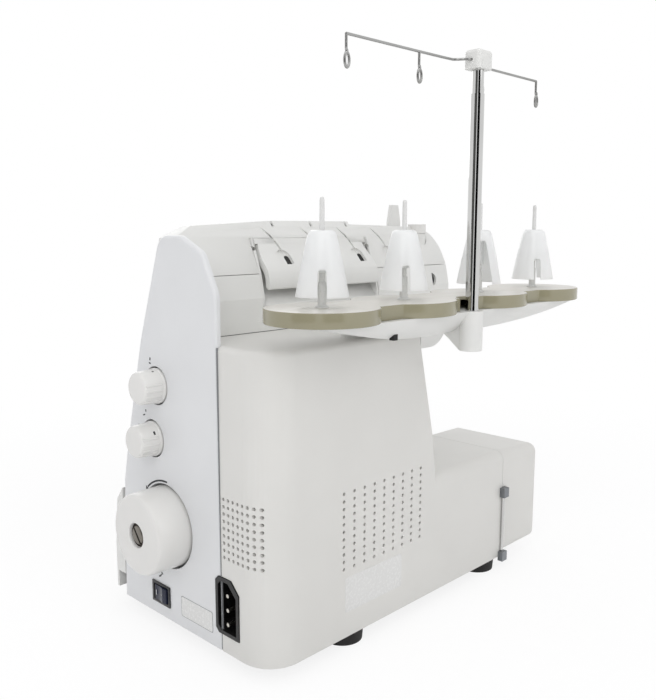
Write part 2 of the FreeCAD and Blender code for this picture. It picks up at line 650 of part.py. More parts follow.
def head_slot():
    """The small half-round slot in the back of the head."""
    centre = (across(s.slot_across), ahead(s.ledge_depth + s.wall * 2), above(s.slot_up))
    return common("head_slot",
                  rod("head_slot_round", "Y", centre, s.slot_radius, s.wall * 3),
                  box("head_slot_half", (across(s.slot_across + s.slot_radius * 2),
                                         ahead(s.ledge_depth + s.wall * 2),
                                         above(s.slot_up - s.slot_radius)),
                      (across(s.slot_across), ahead(s.ledge_depth - s.wall),
                       above(s.slot_up + s.slot_radius))))


def well_room(name):
    """The room that the handle's well takes up in a cover."""
    gap = s.seam / 2
    return box(f"well_room_{name}",
               (across(s.handle_left + s.handle_gap + s.well_wall + gap), ahead(s.well_front + s.well_wall),
                above(s.well_low - s.well_wall - gap)),
               (across(s.handle_right - s.handle_gap - s.well_wall - gap), REAR,
                above(s.pivot_up + s.well_head + gap)))


def groove_places():
    """How far across each of the four thread paths lies."""
    return [s.groove_first + s.groove_pitch * i for i in range(int(s.groove_count.number))]


def thread_grooves():
    """The grooves over the top, each with a round notch and a hole at its rear end."""
    tools = []
    for i, where in enumerate(groove_places()):
        half = s.groove_wide / 2
        tools.append(box(f"groove_{i}", (across(where + half), ahead(s.parting_ahead),
                                         above(s.ridge_up - s.groove_deep - s.groove_fall)),
                         (across(where - half), ahead(s.brow_ahead), above(s.ridge_up + s.wall))))
    return tools


def tension_slots():
    """The upright slots that the tension dials show through."""
    half = s.tension_slot_wide / 2
    reach = s.tension_slot_long / 2
    return [box(f"tension_slot_{i}",
                (across(where + half), ahead(s.front_chest_ahead), above(s.tension_up - reach)),
                (across(where - half), ahead(s.parting_ahead - s.wall), above(s.tension_up + reach)))
            for i, where in enumerate(groove_places())]


def front_panel():
    """The lower front of the column, with the column's left side."""
    edge = s.body_across
    low, high = s.bed_up + s.seam, PANEL_FOOT - s.seam / 2
    lean = (s.column_knee_across - s.column_top_across) / (s.ledge_up - s.column_knee_up)
    left_top = s.column_top_across + lean * (s.ledge_up - high)

    def form(name, inset):
        outline = [
            (across(edge - inset), above(low - inset)), (across(edge - inset), above(high + inset)),
            (across(left_top - inset), above(high + inset)),
            (across(s.column_knee_across - inset), above(s.column_knee_up)),
            (across(s.column_foot_across - inset), above(low - inset)),
        ]
        body = prism(name, "XZ", outline, ahead(s.front_toe_ahead),
                     ahead(s.ledge_depth + s.seam) + inset)
        brow, chest = s.front_brow_ahead - s.front_inset, s.front_chest_ahead - s.front_inset
        steep = (chest - brow) / (s.front_brow_up - s.front_chest_up)
        slope = [
            (ahead(brow - steep * s.wall * 4 - inset), above(s.front_brow_up + s.wall * 4)),
            (ahead(chest - inset), above(s.front_chest_up)),
            (ahead(s.front_knee_ahead - s.front_inset - inset), above(s.bed_up)),
            (ahead(s.front_knee_ahead - s.front_inset - inset), above(s.bed_up - s.wall * 4)),
            (ahead(s.front_toe_ahead * 2), above(s.bed_up - s.wall * 4)),
            (ahead(s.front_toe_ahead * 2), above(s.front_brow_up + s.wall * 4)),
        ]
        return trim(body, "YZ", slope, across(s.overall_width), across(-s.wall * 4))

    shell = cut("front_panel_shell", form("front_panel_outer", length(0.0)),
                form("front_panel_inner", s.wall))
    return node("front_panel", shell)


def swing_form(name, inset):
    """The solid form of the swinging cloth plate cover, moved inwards by an inset."""
    right = SEAM + s.seam / 2 - inset
    end = END - inset
    low, high = s.swing_low + inset, s.bed_up - inset
    body = prism(name, "XZ", [
        (across(right), above(low)), (across(right), above(high)),
        (across(end), above(high - s.swing_fall)), (across(end), above(low)),
    ], ahead(s.bed_front_ahead - inset), REAR - inset)
    slope = [
        (ahead(s.flat_depth), above(s.bed_up - inset)),
        (ahead(s.slope_ahead - inset), above(s.slope_up - inset)),
        (ahead(s.bed_front_ahead - inset), above(s.slope_up / 2)),
        (ahead(s.bed_front_ahead * 2), above(s.slope_up / 2)),
        (ahead(s.bed_front_ahead * 2), above(s.bed_up + s.wall)),
        (ahead(s.flat_depth), above(s.bed_up + s.wall)),
    ]
    trim(body, "YZ", slope, across(s.overall_width), across(SEAM - s.wall * 2))
    soften(body, s.swing_round - inset, lambda p, d: near(p.x, across(end)) and (
        near(p.y, REAR - inset)) and along(d, "z"))
    soften(body, s.bed_round - inset, lambda p, d: p.z > above(high - s.swing_fall).number - 1 and (
        near(p.y, REAR - inset) or near(p.x, across(end))))
    soften(body, s.swing_low_round - inset, lambda p, d: near(p.z, above(low)) and (
        near(p.x, across(end)) and along(d, "y")))
    return body


def cloth_plate_cover():
    """The cover at the free arm's end, which swings back on its upright rod."""
    shell = cut("cloth_plate_cover_shell", swing_form("swing_outer", length(0.0)),
                swing_form("swing_inner", s.wall))
    x, y = rod_place()
    reach = root(s.bracket_width * s.bracket_width / 4 + (s.bracket_proud - s.rod_radius)
                 * (s.bracket_proud - s.rod_radius)) + s.fit_gap
    rooms = [rod(f"swing_room_{i}", "Z", (x, y, above(low) - s.fit_gap), reach,
                 s.bracket_height + s.fit_gap * 2)
             for i, low in enumerate((s.rod_low_up, s.rod_high_up - s.bracket_height))]
    return node("cloth_plate_cover", cut("cloth_plate_cover_cut", shell, *rooms))


def rod_place():
    """X and Y of the swinging cover's upright rod."""
    return across(SEAM), REAR + s.rod_radius


def hinge_rod():
    """The bright rod that the cloth plate cover swings on."""
    x, y = rod_place()
    return node("hinge_rod", rod("hinge_rod_body", "Z", (x, y, above(s.rod_low_up + s.wall)), s.rod_radius,
                                 s.rod_high_up - s.rod_low_up - s.wall * 2))


def hinge_brackets():
    """The brackets on the rear cover that carry the rod, each bored for its end."""
    x, y = rod_place()
    half = s.bracket_width / 2
    blocks = [box(f"bracket_{i}", (x - half, REAR, above(low)),
                  (x + half, REAR + s.bracket_proud, above(low + s.bracket_height)))
              for i, low in enumerate((s.rod_low_up, s.rod_high_up - s.bracket_height))]
    solid = fuse("bracket_blocks", *blocks)
    bore = rod("rod_bore", "Z", (x, y, above(s.rod_low_up + s.wall)), s.rod_radius + s.running_gap,
               s.rod_high_up - s.rod_low_up - s.wall * 2)
    return node("hinge_brackets", cut("bracket_body", solid, bore))


def base_plate():
    """The flat base with the lugs for the looper cover's pin."""
    inset = s.base_inset
    right, rear = across(s.end_thick + inset), REAR - inset
    plate = prism("base_slab", "XY", [
        (across(s.looper_left_across), ahead(s.base_front)), (right, ahead(s.base_front)),
        (right, rear), (across(s.looper_left_across), rear),
    ], above(0.0), above(s.base_thick))
    soften(plate, s.corner_round, lambda p, d: near(p.x, right) and near(p.y, rear))
    lugs = []
    for i, where in enumerate((s.lug_right_across, s.lug_left_across)):
        lugs.append(box(f"lug_arm_{i}", (across(where + s.lug_thick), ahead(s.hinge_pin_ahead),
                                         above(s.hinge_pin_up - s.hinge_eye_radius)),
                        (across(where), ahead(s.base_front - s.wall),
                         above(s.hinge_pin_up + s.hinge_eye_radius))))
        lugs.append(box(f"lug_foot_{i}", (across(where + s.lug_thick), ahead(s.base_front + s.wall),
                                          above(0.0)),
                        (across(where), ahead(s.base_front - s.wall),
                         above(s.hinge_pin_up + s.hinge_eye_radius))))
        lugs.append(rod(f"lug_end_{i}", "X", (across(where + s.lug_thick), ahead(s.hinge_pin_ahead),
                                              above(s.hinge_pin_up)), s.hinge_eye_radius, s.lug_thick))
    bore = rod("lug_bore", "X", (across(s.looper_left_across), ahead(s.hinge_pin_ahead),
                                 above(s.hinge_pin_up)), s.hinge_pin_radius + s.running_gap,
               s.looper_left_across)
    body = fuse("base_body", plate, *lugs)
    return node("base_plate", cut("base_plate_cut", body, bore, inlet_room()))


def inlet_room():
    """Room for the inlet's body above and beside the base."""
    gap = s.fit_gap
    return box("inlet_room", (across(s.inlet_deep + s.wall), ahead(s.inlet_front) - gap, above(-s.wall)),
               (SIDE, ahead(s.inlet_rear) + gap, above(s.base_thick + s.wall)))


def foot_places():
    """Where the feet stand."""
    return [
        (s.foot_right_across, s.foot_rear_ahead), (s.foot_left_across, s.foot_rear_ahead),
        (s.foot_front_across, s.foot_front_ahead), (s.foot_left_across, s.foot_front_ahead),
    ]


def rubber_feet():
    """The black rubber feet, narrower at the floor."""
    feet = [taper(f"foot_{i}", "Z", (across(where), ahead(back), 0.0), s.foot_radius - s.foot_taper,
                  s.foot_radius, s.foot_height) for i, (where, back) in enumerate(foot_places())]
    return node("rubber_feet", group("feet", feet))


def looper_cover():
    """The front cover over the loopers: slides a little to the right, then tips forward on its pin."""
    def form(name, inset):
        outline = [
            (ahead(s.looper_top_ahead), above(s.bed_up - inset)),
            (ahead(s.looper_shoulder - inset - s.looper_brow), above(s.bed_up - inset)),
            (ahead(s.looper_shoulder - inset), above(s.looper_brow_up)),
            (ahead(s.looper_front - inset), above(s.looper_brow_up / 2)),
            (ahead(s.looper_front - inset), above(s.looper_low)),
            (ahead(s.looper_top_ahead), above(s.looper_low)),
        ]
        return prism(name, "YZ", outline, across(s.looper_left_across - inset),
                     across(s.looper_right_across + inset))

    shell = cut("looper_shell", form("looper_outer", length(0.0)), form("looper_inner", s.wall))
    rear = box("looper_rear_room", (across(s.overall_width), ahead(s.hinge_pin_ahead) + s.hinge_eye_radius
                                    + s.seam, above(s.looper_low - s.wall)),
               (SIDE, REAR, above(s.bed_up - s.wall)))
    sides = box("looper_side_room", (across(s.overall_width), ahead(s.looper_side_ahead),
                                     above(s.looper_low - s.wall)),
                (SIDE, REAR, above(s.bed_up - s.wall)))
    under_column = box("looper_under_column",
                       (across(s.column_foot_across + s.looper_slide * 2),
                        ahead(s.looper_shoulder - s.looper_brow), above(s.bed_up - s.wall * 2)),
                       (SIDE, REAR, above(s.bed_up + s.wall)))
    opened = cut("looper_opened", shell, rear, sides, under_column, *looper_end_rooms())
    eyes, bores = [], []
    for i, where in enumerate((s.eye_right_across, s.eye_left_across)):
        eyes.append(rod(f"eye_{i}", "X", (across(where + s.hinge_eye_length), ahead(s.hinge_pin_ahead),
                                          above(s.hinge_pin_up)), s.hinge_eye_radius,
                        s.hinge_eye_length))
        eyes.append(box(f"eye_arm_{i}", (across(where + s.hinge_eye_length), ahead(s.looper_front)
                                         + s.wall / 2, above(s.hinge_pin_up)),
                        (across(where), ahead(s.hinge_pin_ahead), above(s.hinge_pin_up
                                                                        + s.hinge_eye_radius))))
    bore = rod("eye_bore", "X", (across(s.looper_left_across), ahead(s.hinge_pin_ahead),
                                 above(s.hinge_pin_up)), s.hinge_pin_radius + s.running_gap,
               s.looper_left_across)
    lug_rooms = [box(f"lug_room_{i}",
                     (across(where + s.lug_thick + s.looper_slide), ahead(s.hinge_pin_ahead
                                                                         + s.hinge_eye_radius + s.seam),
                      above(-s.wall)),
                     (across(where - s.looper_slide), REAR, above(s.looper_low + s.wall * 2)))
                 for i, where in enumerate((s.lug_right_across - s.seam, s.lug_left_across - s.seam))]
    return node("looper_cover", cut("looper_cover_cut", fuse("looper_cover_body", opened, *eyes),
                                    bore, *lug_rooms))


def looper_end_rooms():
    """Room for the end cover's front edge inside the looper cover's right end, closed or slid aside."""
    inner = across(s.end_thick + s.seam + s.looper_slide)
    outer = across(s.looper_right_across - s.wall * 2)
    edge = prism("looper_edge_room", "YZ", [
        (REAR, above(-s.wall)), (REAR, above(s.bed_up + s.wall)),
        (ahead(s.front_knee_ahead + s.seam), above(s.bed_up + s.wall)),
        (ahead(s.front_knee_ahead + s.seam), above(s.bed_up)),
        (ahead(s.front_toe_ahead + s.seam), above(0.0)),
        (ahead(s.front_toe_ahead + s.seam), above(-s.wall)),
    ], inner, outer)
    corner = box("looper_corner_room", (inner, ahead(s.looper_front - s.wall), above(-s.wall)),
                 (outer, REAR, above(s.hinge_pin_up + s.looper_end_free)))
    return [edge, corner]


def looper_cover_pin():
    """The steel pin that the looper cover slides and turns on."""
    return node("looper_cover_pin", rod(
        "looper_pin_body", "X", (across(s.lug_left_across + s.lug_thick + s.looper_slide * 2),
                                 ahead(s.hinge_pin_ahead), above(s.hinge_pin_up)), s.hinge_pin_radius,
        s.lug_left_across - s.lug_right_across + s.lug_thick + s.looper_slide * 3))


# ---- handwheel, shaft, motor ----

def handwheel():
    """The large handwheel, hollowed in its face for the centre screw."""
    hub, face = s.shaft_radius, s.wheel_face_radius
    profile = [
        (-s.wheel_inboard, length(0.0)), (-s.wheel_inboard, s.wheel_radius),
        (s.wheel_step, s.wheel_radius), (s.wheel_proud, face),
        (s.wheel_proud, s.wheel_hollow_radius), (s.wheel_proud - s.wheel_hollow, s.wheel_hollow_radius),
        (s.wheel_proud - s.wheel_hollow, length(0.0)),
    ]
    body = turned("handwheel_body", profile, (SIDE, ahead(s.wheel_ahead), above(s.wheel_up)))
    soften(body, s.wheel_edge_round, lambda p, d: near(p.x, s.wheel_proud) and math.hypot(p.y, p.z) > (
        s.wheel_hollow_radius.number + 1))
    bore = rod("wheel_bore", "X", (across(s.wheel_inboard * 2), ahead(s.wheel_ahead), above(s.wheel_up)),
               hub, s.wheel_inboard * 2 + s.wheel_hub_depth)
    return node("handwheel", cut("handwheel_cut", body, bore))


def handwheel_screw():
    """The slotted screw in the middle of the handwheel."""
    face = SIDE + s.wheel_proud - s.wheel_hollow
    head = rod("screw_head", "X", (face, ahead(s.wheel_ahead), above(s.wheel_up)), s.screw_radius,
               s.screw_thick)
    slot = box("screw_slot_cut", (face + s.screw_thick / 2, ahead(s.wheel_ahead) - s.screw_radius * 2,
                                  above(s.wheel_up) - s.screw_slot / 2),
               (face + s.screw_thick * 2, ahead(s.wheel_ahead) + s.screw_radius * 2,
                above(s.wheel_up) + s.screw_slot / 2))
    return node("handwheel_screw", cut("screw_body", head, slot))


def main_shaft():
    """The main shaft, from inside the handwheel to the looper end of the frame."""
    start = across(s.shaft_end_across)
    return node("main_shaft", rod("main_shaft_body", "X", (start, ahead(s.wheel_ahead), above(s.wheel_up)),
                                  s.shaft_radius, SIDE + s.wheel_hub_depth - start))


def shaft_bearings():
    """The three ball bearings of the main shaft, as plain rings."""
    rings = []
    for i, where in enumerate((s.frame_right_across, s.frame_column_across, s.frame_bed_across)):
        start = (across(where + s.frame_wall), ahead(s.wheel_ahead), above(s.wheel_up))
        rings.append(cut(f"bearing_{i}", rod(f"bearing_outer_{i}", "X", start, s.bearing_radius,
                                             s.frame_wall),
                         rod(f"bearing_bore_{i}", "X", start, s.shaft_radius + s.running_gap,
                             s.frame_wall)))
    return node("shaft_bearings", group("bearings", rings))


def drive_pulley():
    """The large belt pulley on the main shaft."""
    wide, deep = s.pulley_width, s.pulley_flange
    profile = [
        (length(0.0), s.shaft_radius), (length(0.0), s.pulley_radius), (deep, s.pulley_radius),
        (deep, s.pulley_radius - s.belt_thick), (wide - deep, s.pulley_radius - s.belt_thick),
        (wide - deep, s.pulley_radius), (wide, s.pulley_radius), (wide, s.shaft_radius),
    ]
    return node("drive_pulley", turned("drive_pulley_body", profile, (
        across(s.pulley_across + wide), ahead(s.wheel_ahead), above(s.wheel_up))))


def motor_pulley():
    """The motor's shaft with its small belt pulley."""
    wide = s.pulley_width
    start = (across(s.pulley_across + wide), ahead(s.motor_ahead), above(s.motor_up))
    long = s.motor_across + s.motor_length / 2 - s.pulley_across
    shaft = rod("motor_shaft", "X", (across(s.pulley_across + long), ahead(s.motor_ahead),
                                     above(s.motor_up)), s.motor_shaft_radius, long)
    return node("motor_pulley", fuse("motor_pulley_body", shaft, rod(
        "small_pulley", "X", start, s.motor_pulley_radius, wide)))


def motor():
    """The electric motor, bored for its shaft, with the foot plate that it is screwed down by."""
    start = (across(s.motor_across + s.motor_length), ahead(s.motor_ahead), above(s.motor_up))
    can = rod("motor_can", "X", start, s.motor_radius, s.motor_length)
    room = rod("motor_room", "X", (across(s.motor_across + s.motor_length / 2 + s.wall),
                                   ahead(s.motor_ahead), above(s.motor_up)),
               s.motor_shaft_radius + s.running_gap, s.motor_length)
    reach = s.motor_radius
    foot = box("motor_foot", (across(s.motor_across + s.motor_length), ahead(s.motor_ahead) - reach,
                              above(s.base_thick)),
               (across(s.motor_across), ahead(s.motor_ahead) + reach, above(s.base_thick
                                                                           + s.motor_plate)))
    stem = box("motor_stem", (across(s.motor_across + s.motor_length * 3 / 4),
                              ahead(s.motor_ahead) - s.motor_radius / 2, above(s.base_thick)),
               (across(s.motor_across + s.motor_length / 4), ahead(s.motor_ahead)
                + s.motor_radius / 2, above(s.motor_up)))
    return node("motor", cut("motor_body", fuse("motor_whole", can, foot, stem), room))


def timing_belt():
    """The belt round both pulleys: a loop that clears them by the fit gap."""
    gap = s.running_gap * 2
    big, small = s.pulley_radius - s.belt_thick + gap, s.motor_pulley_radius + gap
    low = (s.motor_ahead.number, s.motor_up.number)
    high = (s.wheel_ahead.number, s.wheel_up.number)
    start = s.pulley_across + s.pulley_flange + s.fit_gap
    wide = s.pulley_width - s.pulley_flange * 2 - s.fit_gap * 2

    def loop(grow):
        """A filled loop round both pulleys, in the plane of the belt."""
        run = (high[0] - low[0], high[1] - low[1])
        span = math.hypot(*run)
        radii = (small.number + grow, big.number + grow)
        lean = math.asin((radii[1] - radii[0]) / span)
        heading = math.atan2(run[1], run[0])
        x = across(start + wide).number
        points = []
        for side in (1, -1):
            angle = heading + side * (math.pi / 2 + lean)
            for centre, radius in ((low, radii[0]), (high, radii[1])):
                points.append(V(x, ahead(centre[0] + radius * math.cos(angle)).number,
                                above(centre[1] + radius * math.sin(angle)).number))
        far_low = V(x, ahead(low[0] - radii[0] * math.cos(heading)).number,
                    above(low[1] - radii[0] * math.sin(heading)).number)
        far_high = V(x, ahead(high[0] + radii[1] * math.cos(heading)).number,
                     above(high[1] + radii[1] * math.sin(heading)).number)
        edges = [Part.LineSegment(points[0], points[1]).toShape(),
                 Part.Arc(points[1], far_high, points[3]).toShape(),
                 Part.LineSegment(points[3], points[2]).toShape(),
                 Part.Arc(points[2], far_low, points[0]).toShape()]
        return Part.Face(Part.Wire(edges)).extrude(V(wide.number, 0, 0))

    item = DOC.addObject("Part::Feature", "timing_belt_body")
    item.Shape = loop(s.belt_thick.number).cut(loop(0.0))
    return node("timing_belt", item)


# ---- dials, switch and inlet ----

def dial(name, place):
    """A fluted dial with its spindle, which passes through the end cover."""
    where, up = place
    start = (across(s.dial_inboard), ahead(where), above(up))
    body = taper(f"{name}_body", "X", start, s.dial_radius, s.dial_face_radius,
                 s.dial_inboard + s.dial_proud)
    spindle = rod(f"{name}_spindle", "X", (across(s.spindle_length), ahead(where), above(up)),
                  s.spindle_radius, s.spindle_length)
    flutes = []
    count = int(s.dial_flutes.number)
    for i in range(count):
        turn = 2 * math.pi * i / count
        flutes.append(rod(f"{name}_flute_{i}", "X",
                          (SIDE + s.dial_proud / 4,
                           ahead(where) + s.dial_radius * math.cos(turn),
                           above(up) + s.dial_radius * math.sin(turn)), s.flute_radius, s.dial_proud))
    return node(name, cut(f"{name}_cut", fuse(f"{name}_whole", body, spindle), *flutes))


def dial_bracket():
    """The plate behind the end cover that carries both dial spindles."""
    x = across(s.dial_plate_across + s.dial_plate_thick)
    low_ahead = s.upper_dial_ahead - s.dial_radius
    high_ahead = s.lower_dial_ahead + s.dial_radius
    plate = box("dial_plate", (x, ahead(high_ahead), above(s.lower_dial_up - s.dial_radius)),
                (x + s.dial_plate_thick, ahead(low_ahead), above(s.upper_dial_up + s.dial_radius)))
    arm = box("dial_plate_arm", (across(s.frame_right_across), ahead(high_ahead),
                                 above((s.lower_dial_up + s.upper_dial_up) / 2 - s.dial_plate_thick)),
              (x, ahead(low_ahead), above((s.lower_dial_up + s.upper_dial_up) / 2 + s.dial_plate_thick)))
    bores = [rod(f"dial_bore_{i}", "X", (x - s.wall, ahead(where), above(up)),
                 s.spindle_radius + s.running_gap, s.dial_plate_thick + s.wall * 2)
             for i, (where, up) in enumerate(dial_places())]
    return node("dial_bracket", cut("dial_bracket_cut", fuse("dial_bracket_body", plate, arm), *bores))


def power_switch():
    """The switch's frame, open at the front for the rocker, and the rocker on its pivot."""
    y, z = ahead(s.switch_ahead), above(s.switch_up)
    rim = s.switch_rim
    half, tall = s.switch_wide / 2, s.switch_high / 2
    flange = box("switch_flange", (SIDE, y - half, z - tall), (SIDE + s.switch_proud, y + half, z + tall))
    inner = rim / 2 + s.fit_gap
    block = box("switch_block", (across(s.switch_deep), y - half + inner, z - tall + inner),
                (SIDE, y + half - inner, z + tall - inner))
    room_half, room_tall = s.rocker_wide / 2 + s.fit_gap * 2, s.rocker_high / 2 + s.fit_gap
    room = box("rocker_room", (across(s.rocker_room), y - room_half, z - room_tall),
               (SIDE + s.switch_proud * 2, y + room_half, z + room_tall))
    node("switch_frame", cut("switch_frame_body", fuse("switch_solid", flange, block), room))
    rocker = rod("rocker_round", "Z", (SIDE - s.rocker_arc + s.rocker_proud + s.switch_proud, y,
                                       z - s.rocker_high / 2), s.rocker_arc, s.rocker_high)
    keep = box("rocker_keep", (across(s.rocker_thick), y - s.rocker_wide / 2, z - s.rocker_high / 2),
               (SIDE + s.rocker_arc, y + s.rocker_wide / 2, z + s.rocker_high / 2))
    dish = rod("rocker_dish", "Z", (SIDE + s.rocker_arc + s.switch_proud + s.rocker_dip, y,
                                    z - s.rocker_high), s.rocker_arc, s.rocker_high * 2)
    body = cut("rocker_body", common("rocker_block", keep, rocker), dish)
    pivot = V((SIDE - s.rocker_pivot).number, y.number, z.number)
    body.Placement = FreeCAD.Placement(V(0, 0, 0), FreeCAD.Rotation(V(0, 0, 1), -s.rocker_tilt.number),
                                       pivot)
    return node("power_rocker", body)


def power_inlet():
    """The inlet's block with its socket, and the three pins in it."""
    block = prism("inlet_block", "YZ", inlet_outline(length(0.0)), across(s.inlet_deep),
                  SIDE + s.inlet_proud)
    cavity = prism("inlet_socket", "YZ", inlet_outline(-s.inlet_wall), across(s.inlet_cavity),
                   SIDE + s.wall * 2)
    node("power_inlet", cut("inlet_body", block, cavity))
    pins = [rod(f"inlet_pin_{i}", "X", (across(s.inlet_cavity), ahead(s.inlet_pin_ahead),
                                        above(s.inlet_pin_up + s.inlet_pin_pitch * i)),
                s.inlet_pin_radius, s.inlet_pin_length) for i in range(3)]
    return node("inlet_pins", group("inlet_pin_set", pins))


# ---- thread stand ----

def lobe_places():
    """X of each spool's lobe and pin."""
    pole_x = across(s.pole_across)
    return [pole_x + s.lobe_far, pole_x + s.lobe_near, pole_x - s.lobe_near, pole_x - s.lobe_far]


def stand_y():
    """Y of the row of spool pins."""
    return REAR + s.lobe_behind


def tray_form(name, inset, low, high):
    """The four lobes and the necks between them, as one solid between two heights."""
    radius = s.lobe_radius - inset
    lobes = [rod(f"{name}_lobe_{i}", "Z", (x, stand_y(), above(low)), radius, length(high) - length(low))
             for i, x in enumerate(lobe_places())]
    places = lobe_places()
    half = s.neck_wide / 2 - inset
    neck = box(f"{name}_neck", (places[-1], stand_y() - half, above(low)),
               (places[0], stand_y() + half, above(high)))
    return fuse(name, neck, *lobes)


def spool_tray():
    """The four-lobed tray, hollow underneath, with a notch behind for the pole."""
    top, low = TRAY, TRAY - s.tray_thick
    outer = tray_form("tray_outer", length(0.0), low, top)
    inner = tray_form("tray_inner", s.tray_wall, low - s.wall, top - s.tray_wall)
    notch = rod("tray_notch", "Z", (across(s.pole_across), REAR + s.pole_behind, above(low - s.wall)),
                s.notch_radius, s.tray_thick * 2)
    bosses = [rod(f"tray_boss_{i}", "Z", (x, stand_y(), above(low)), s.pin_low_radius * 2, s.tray_thick)
              for i, x in enumerate(lobe_places())]
    shell = cut("tray_shell", outer, inner)
    return node("spool_tray", cut("tray_cut", fuse("tray_body", shell, *bosses), notch,
                                  *[rod(f"tray_bore_{i}", "Z", (x, stand_y(), above(low - s.wall)),
                                        s.pin_low_radius, s.tray_thick * 2)
                                    for i, x in enumerate(lobe_places())]))


def stand_carrier():
    """The white boat-shaped carrier under the tray, with the web and socket of the pole."""
    low, high = s.ledge_up, TRAY - s.tray_thick
    drop = high - low
    x, y = across(s.pole_across), stand_y() - s.hull_ahead
    reach, half = s.hull_length / 2, s.hull_wide / 2
    long_arc = (reach * reach + drop * drop) / (drop * 2)
    cross_arc = (half * half + drop * drop) / (drop * 2)
    hull = common("hull", rod("hull_long", "Y", (x, y - half, above(low) + long_arc), long_arc, half * 2),
                  rod("hull_cross", "X", (x - reach, y, above(low) + cross_arc), cross_arc, reach * 2))
    top = box("hull_top", (x - reach, y - half, above(low)), (x + reach, y + half, above(high)))
    boat = common("boat", hull, top)
    feet = [rod(f"carrier_foot_{i}", "Z", (x + s.boss_spread * side, REAR - s.hull_boss * 2, above(low)),
                s.hull_boss, drop) for i, side in enumerate((-1, 1))]
    pole_y = REAR + s.pole_behind
    socket = rod("socket", "Z", (x, pole_y, above((TRAY - s.socket_drop))), s.socket_radius,
                 high - (TRAY - s.socket_drop))
    web = prism("web", "YZ", [
        (pole_y, above((TRAY - s.socket_drop))), (pole_y, above(high)), (pole_y - s.web_reach, above(high)),
        (pole_y - s.web_reach, above(high - drop / 2)), (pole_y - s.web_reach / 2, above(low - s.wall)),
        (pole_y - s.socket_radius, above((TRAY - s.socket_drop))),
    ], x - s.web_thick / 2, x + s.web_thick / 2)
    bore = rod("socket_bore", "Z", (x, pole_y, above(POLE_FLOOR)), s.pole_radius,
               TRAY - POLE_FLOOR)
    return node("stand_carrier", cut("carrier_cut", fuse("carrier_body", boat, socket, web, *feet), bore))


def spool_pins():
    """The four stepped spool pins."""
    pins = []
    foot = TRAY - s.tray_thick
    for i, x in enumerate(lobe_places()):
        low = rod(f"pin_foot_{i}", "Z", (x, stand_y(), above(foot)), s.pin_low_radius,
                  s.tray_thick + s.pin_step)
        middle = rod(f"pin_middle_{i}", "Z", (x, stand_y(), above(TRAY)), s.pin_middle_radius,
                     s.pin_tall - s.pin_free_long)
        high = rod(f"pin_{i}", "Z", (x, stand_y(), above(TRAY)), s.pin_radius, s.pin_tall)
        pins.append(fuse(f"pin_whole_{i}", low, middle, high))
    return node("spool_pins", group("pin_set", pins))


def spool_cones():
    """The slotted bells that steady a cone of thread: a wall, a centre tube and two ribs each."""
    cones = []
    wall, foot, tall = s.cone_wall, TRAY + s.cone_foot, s.cone_tall
    for i, x in enumerate(lobe_places()):
        y, z = stand_y(), above(foot)
        outer = taper(f"cone_outer_{i}", "Z", (x, y, z), s.cone_radius, s.cone_top_radius, tall)
        inner = taper(f"cone_inner_{i}", "Z", (x, y, z), s.cone_radius - wall, s.cone_top_radius - wall,
                      tall)
        slot = box(f"cone_slot_{i}", (x - s.cone_radius * 2, y - s.cone_slot / 2, z - wall),
                   (x + s.cone_radius * 2, y + s.cone_slot / 2, z + tall * 2 / 3))
        bell = cut(f"cone_wall_{i}", outer, inner, slot)
        rest = TRAY + s.pin_step
        tube = rod(f"cone_tube_{i}", "Z", (x, y, above(rest)), s.cone_tube_radius,
                   foot + tall - rest)
        rib = box(f"cone_rib_{i}", (x - s.cone_top_radius + wall / 2, y - s.cone_rib / 2, above(rest) + tall / 2),
                  (x + s.cone_top_radius - wall / 2, y + s.cone_rib / 2, above(foot + tall)))
        cross = box(f"cone_cross_{i}", (x - s.cone_rib / 2, y - s.cone_top_radius + wall / 2, above(rest)),
                    (x + s.cone_rib / 2, y + s.cone_top_radius - wall / 2, above(foot + tall)))
        bore = rod(f"cone_bore_{i}", "Z", (x, y, above(TRAY)), s.pin_middle_radius + s.fit_gap,
                   s.pin_tall)
        cones.append(cut(f"cone_{i}", fuse(f"cone_solid_{i}", bell, tube, rib, cross), bore))
    return node("spool_cones", group("cone_set", cones))


def pole():
    """The two tubes of the telescopic pole."""
    x, y = across(s.pole_across), REAR + s.pole_behind
    inside = s.pole_radius - s.pole_wall
    outer = cut("pole_tube", rod("pole_tube_outer", "Z", (x, y, above(POLE_FLOOR)), s.pole_radius,
                                 POLE_TOP - POLE_FLOOR),
                rod("pole_tube_inner", "Z", (x, y, above(POLE_FLOOR)), inside,
                    POLE_TOP - POLE_FLOOR))
    node("pole_outer", outer)
    slim = inside - s.running_gap * 2
    tube = cut("pole_slim", rod("pole_slim_outer", "Z", (x, y, above((POLE_TOP - s.inner_hidden_long))), slim,
                                (CAP_LOW + s.inner_cap_long) - (POLE_TOP - s.inner_hidden_long)),
               rod("pole_slim_inner", "Z", (x, y, above((POLE_TOP - s.inner_hidden_long))), slim - s.pole_wall,
                   CAP_LOW - (POLE_TOP - s.inner_hidden_long)))
    return node("pole_inner", tube)


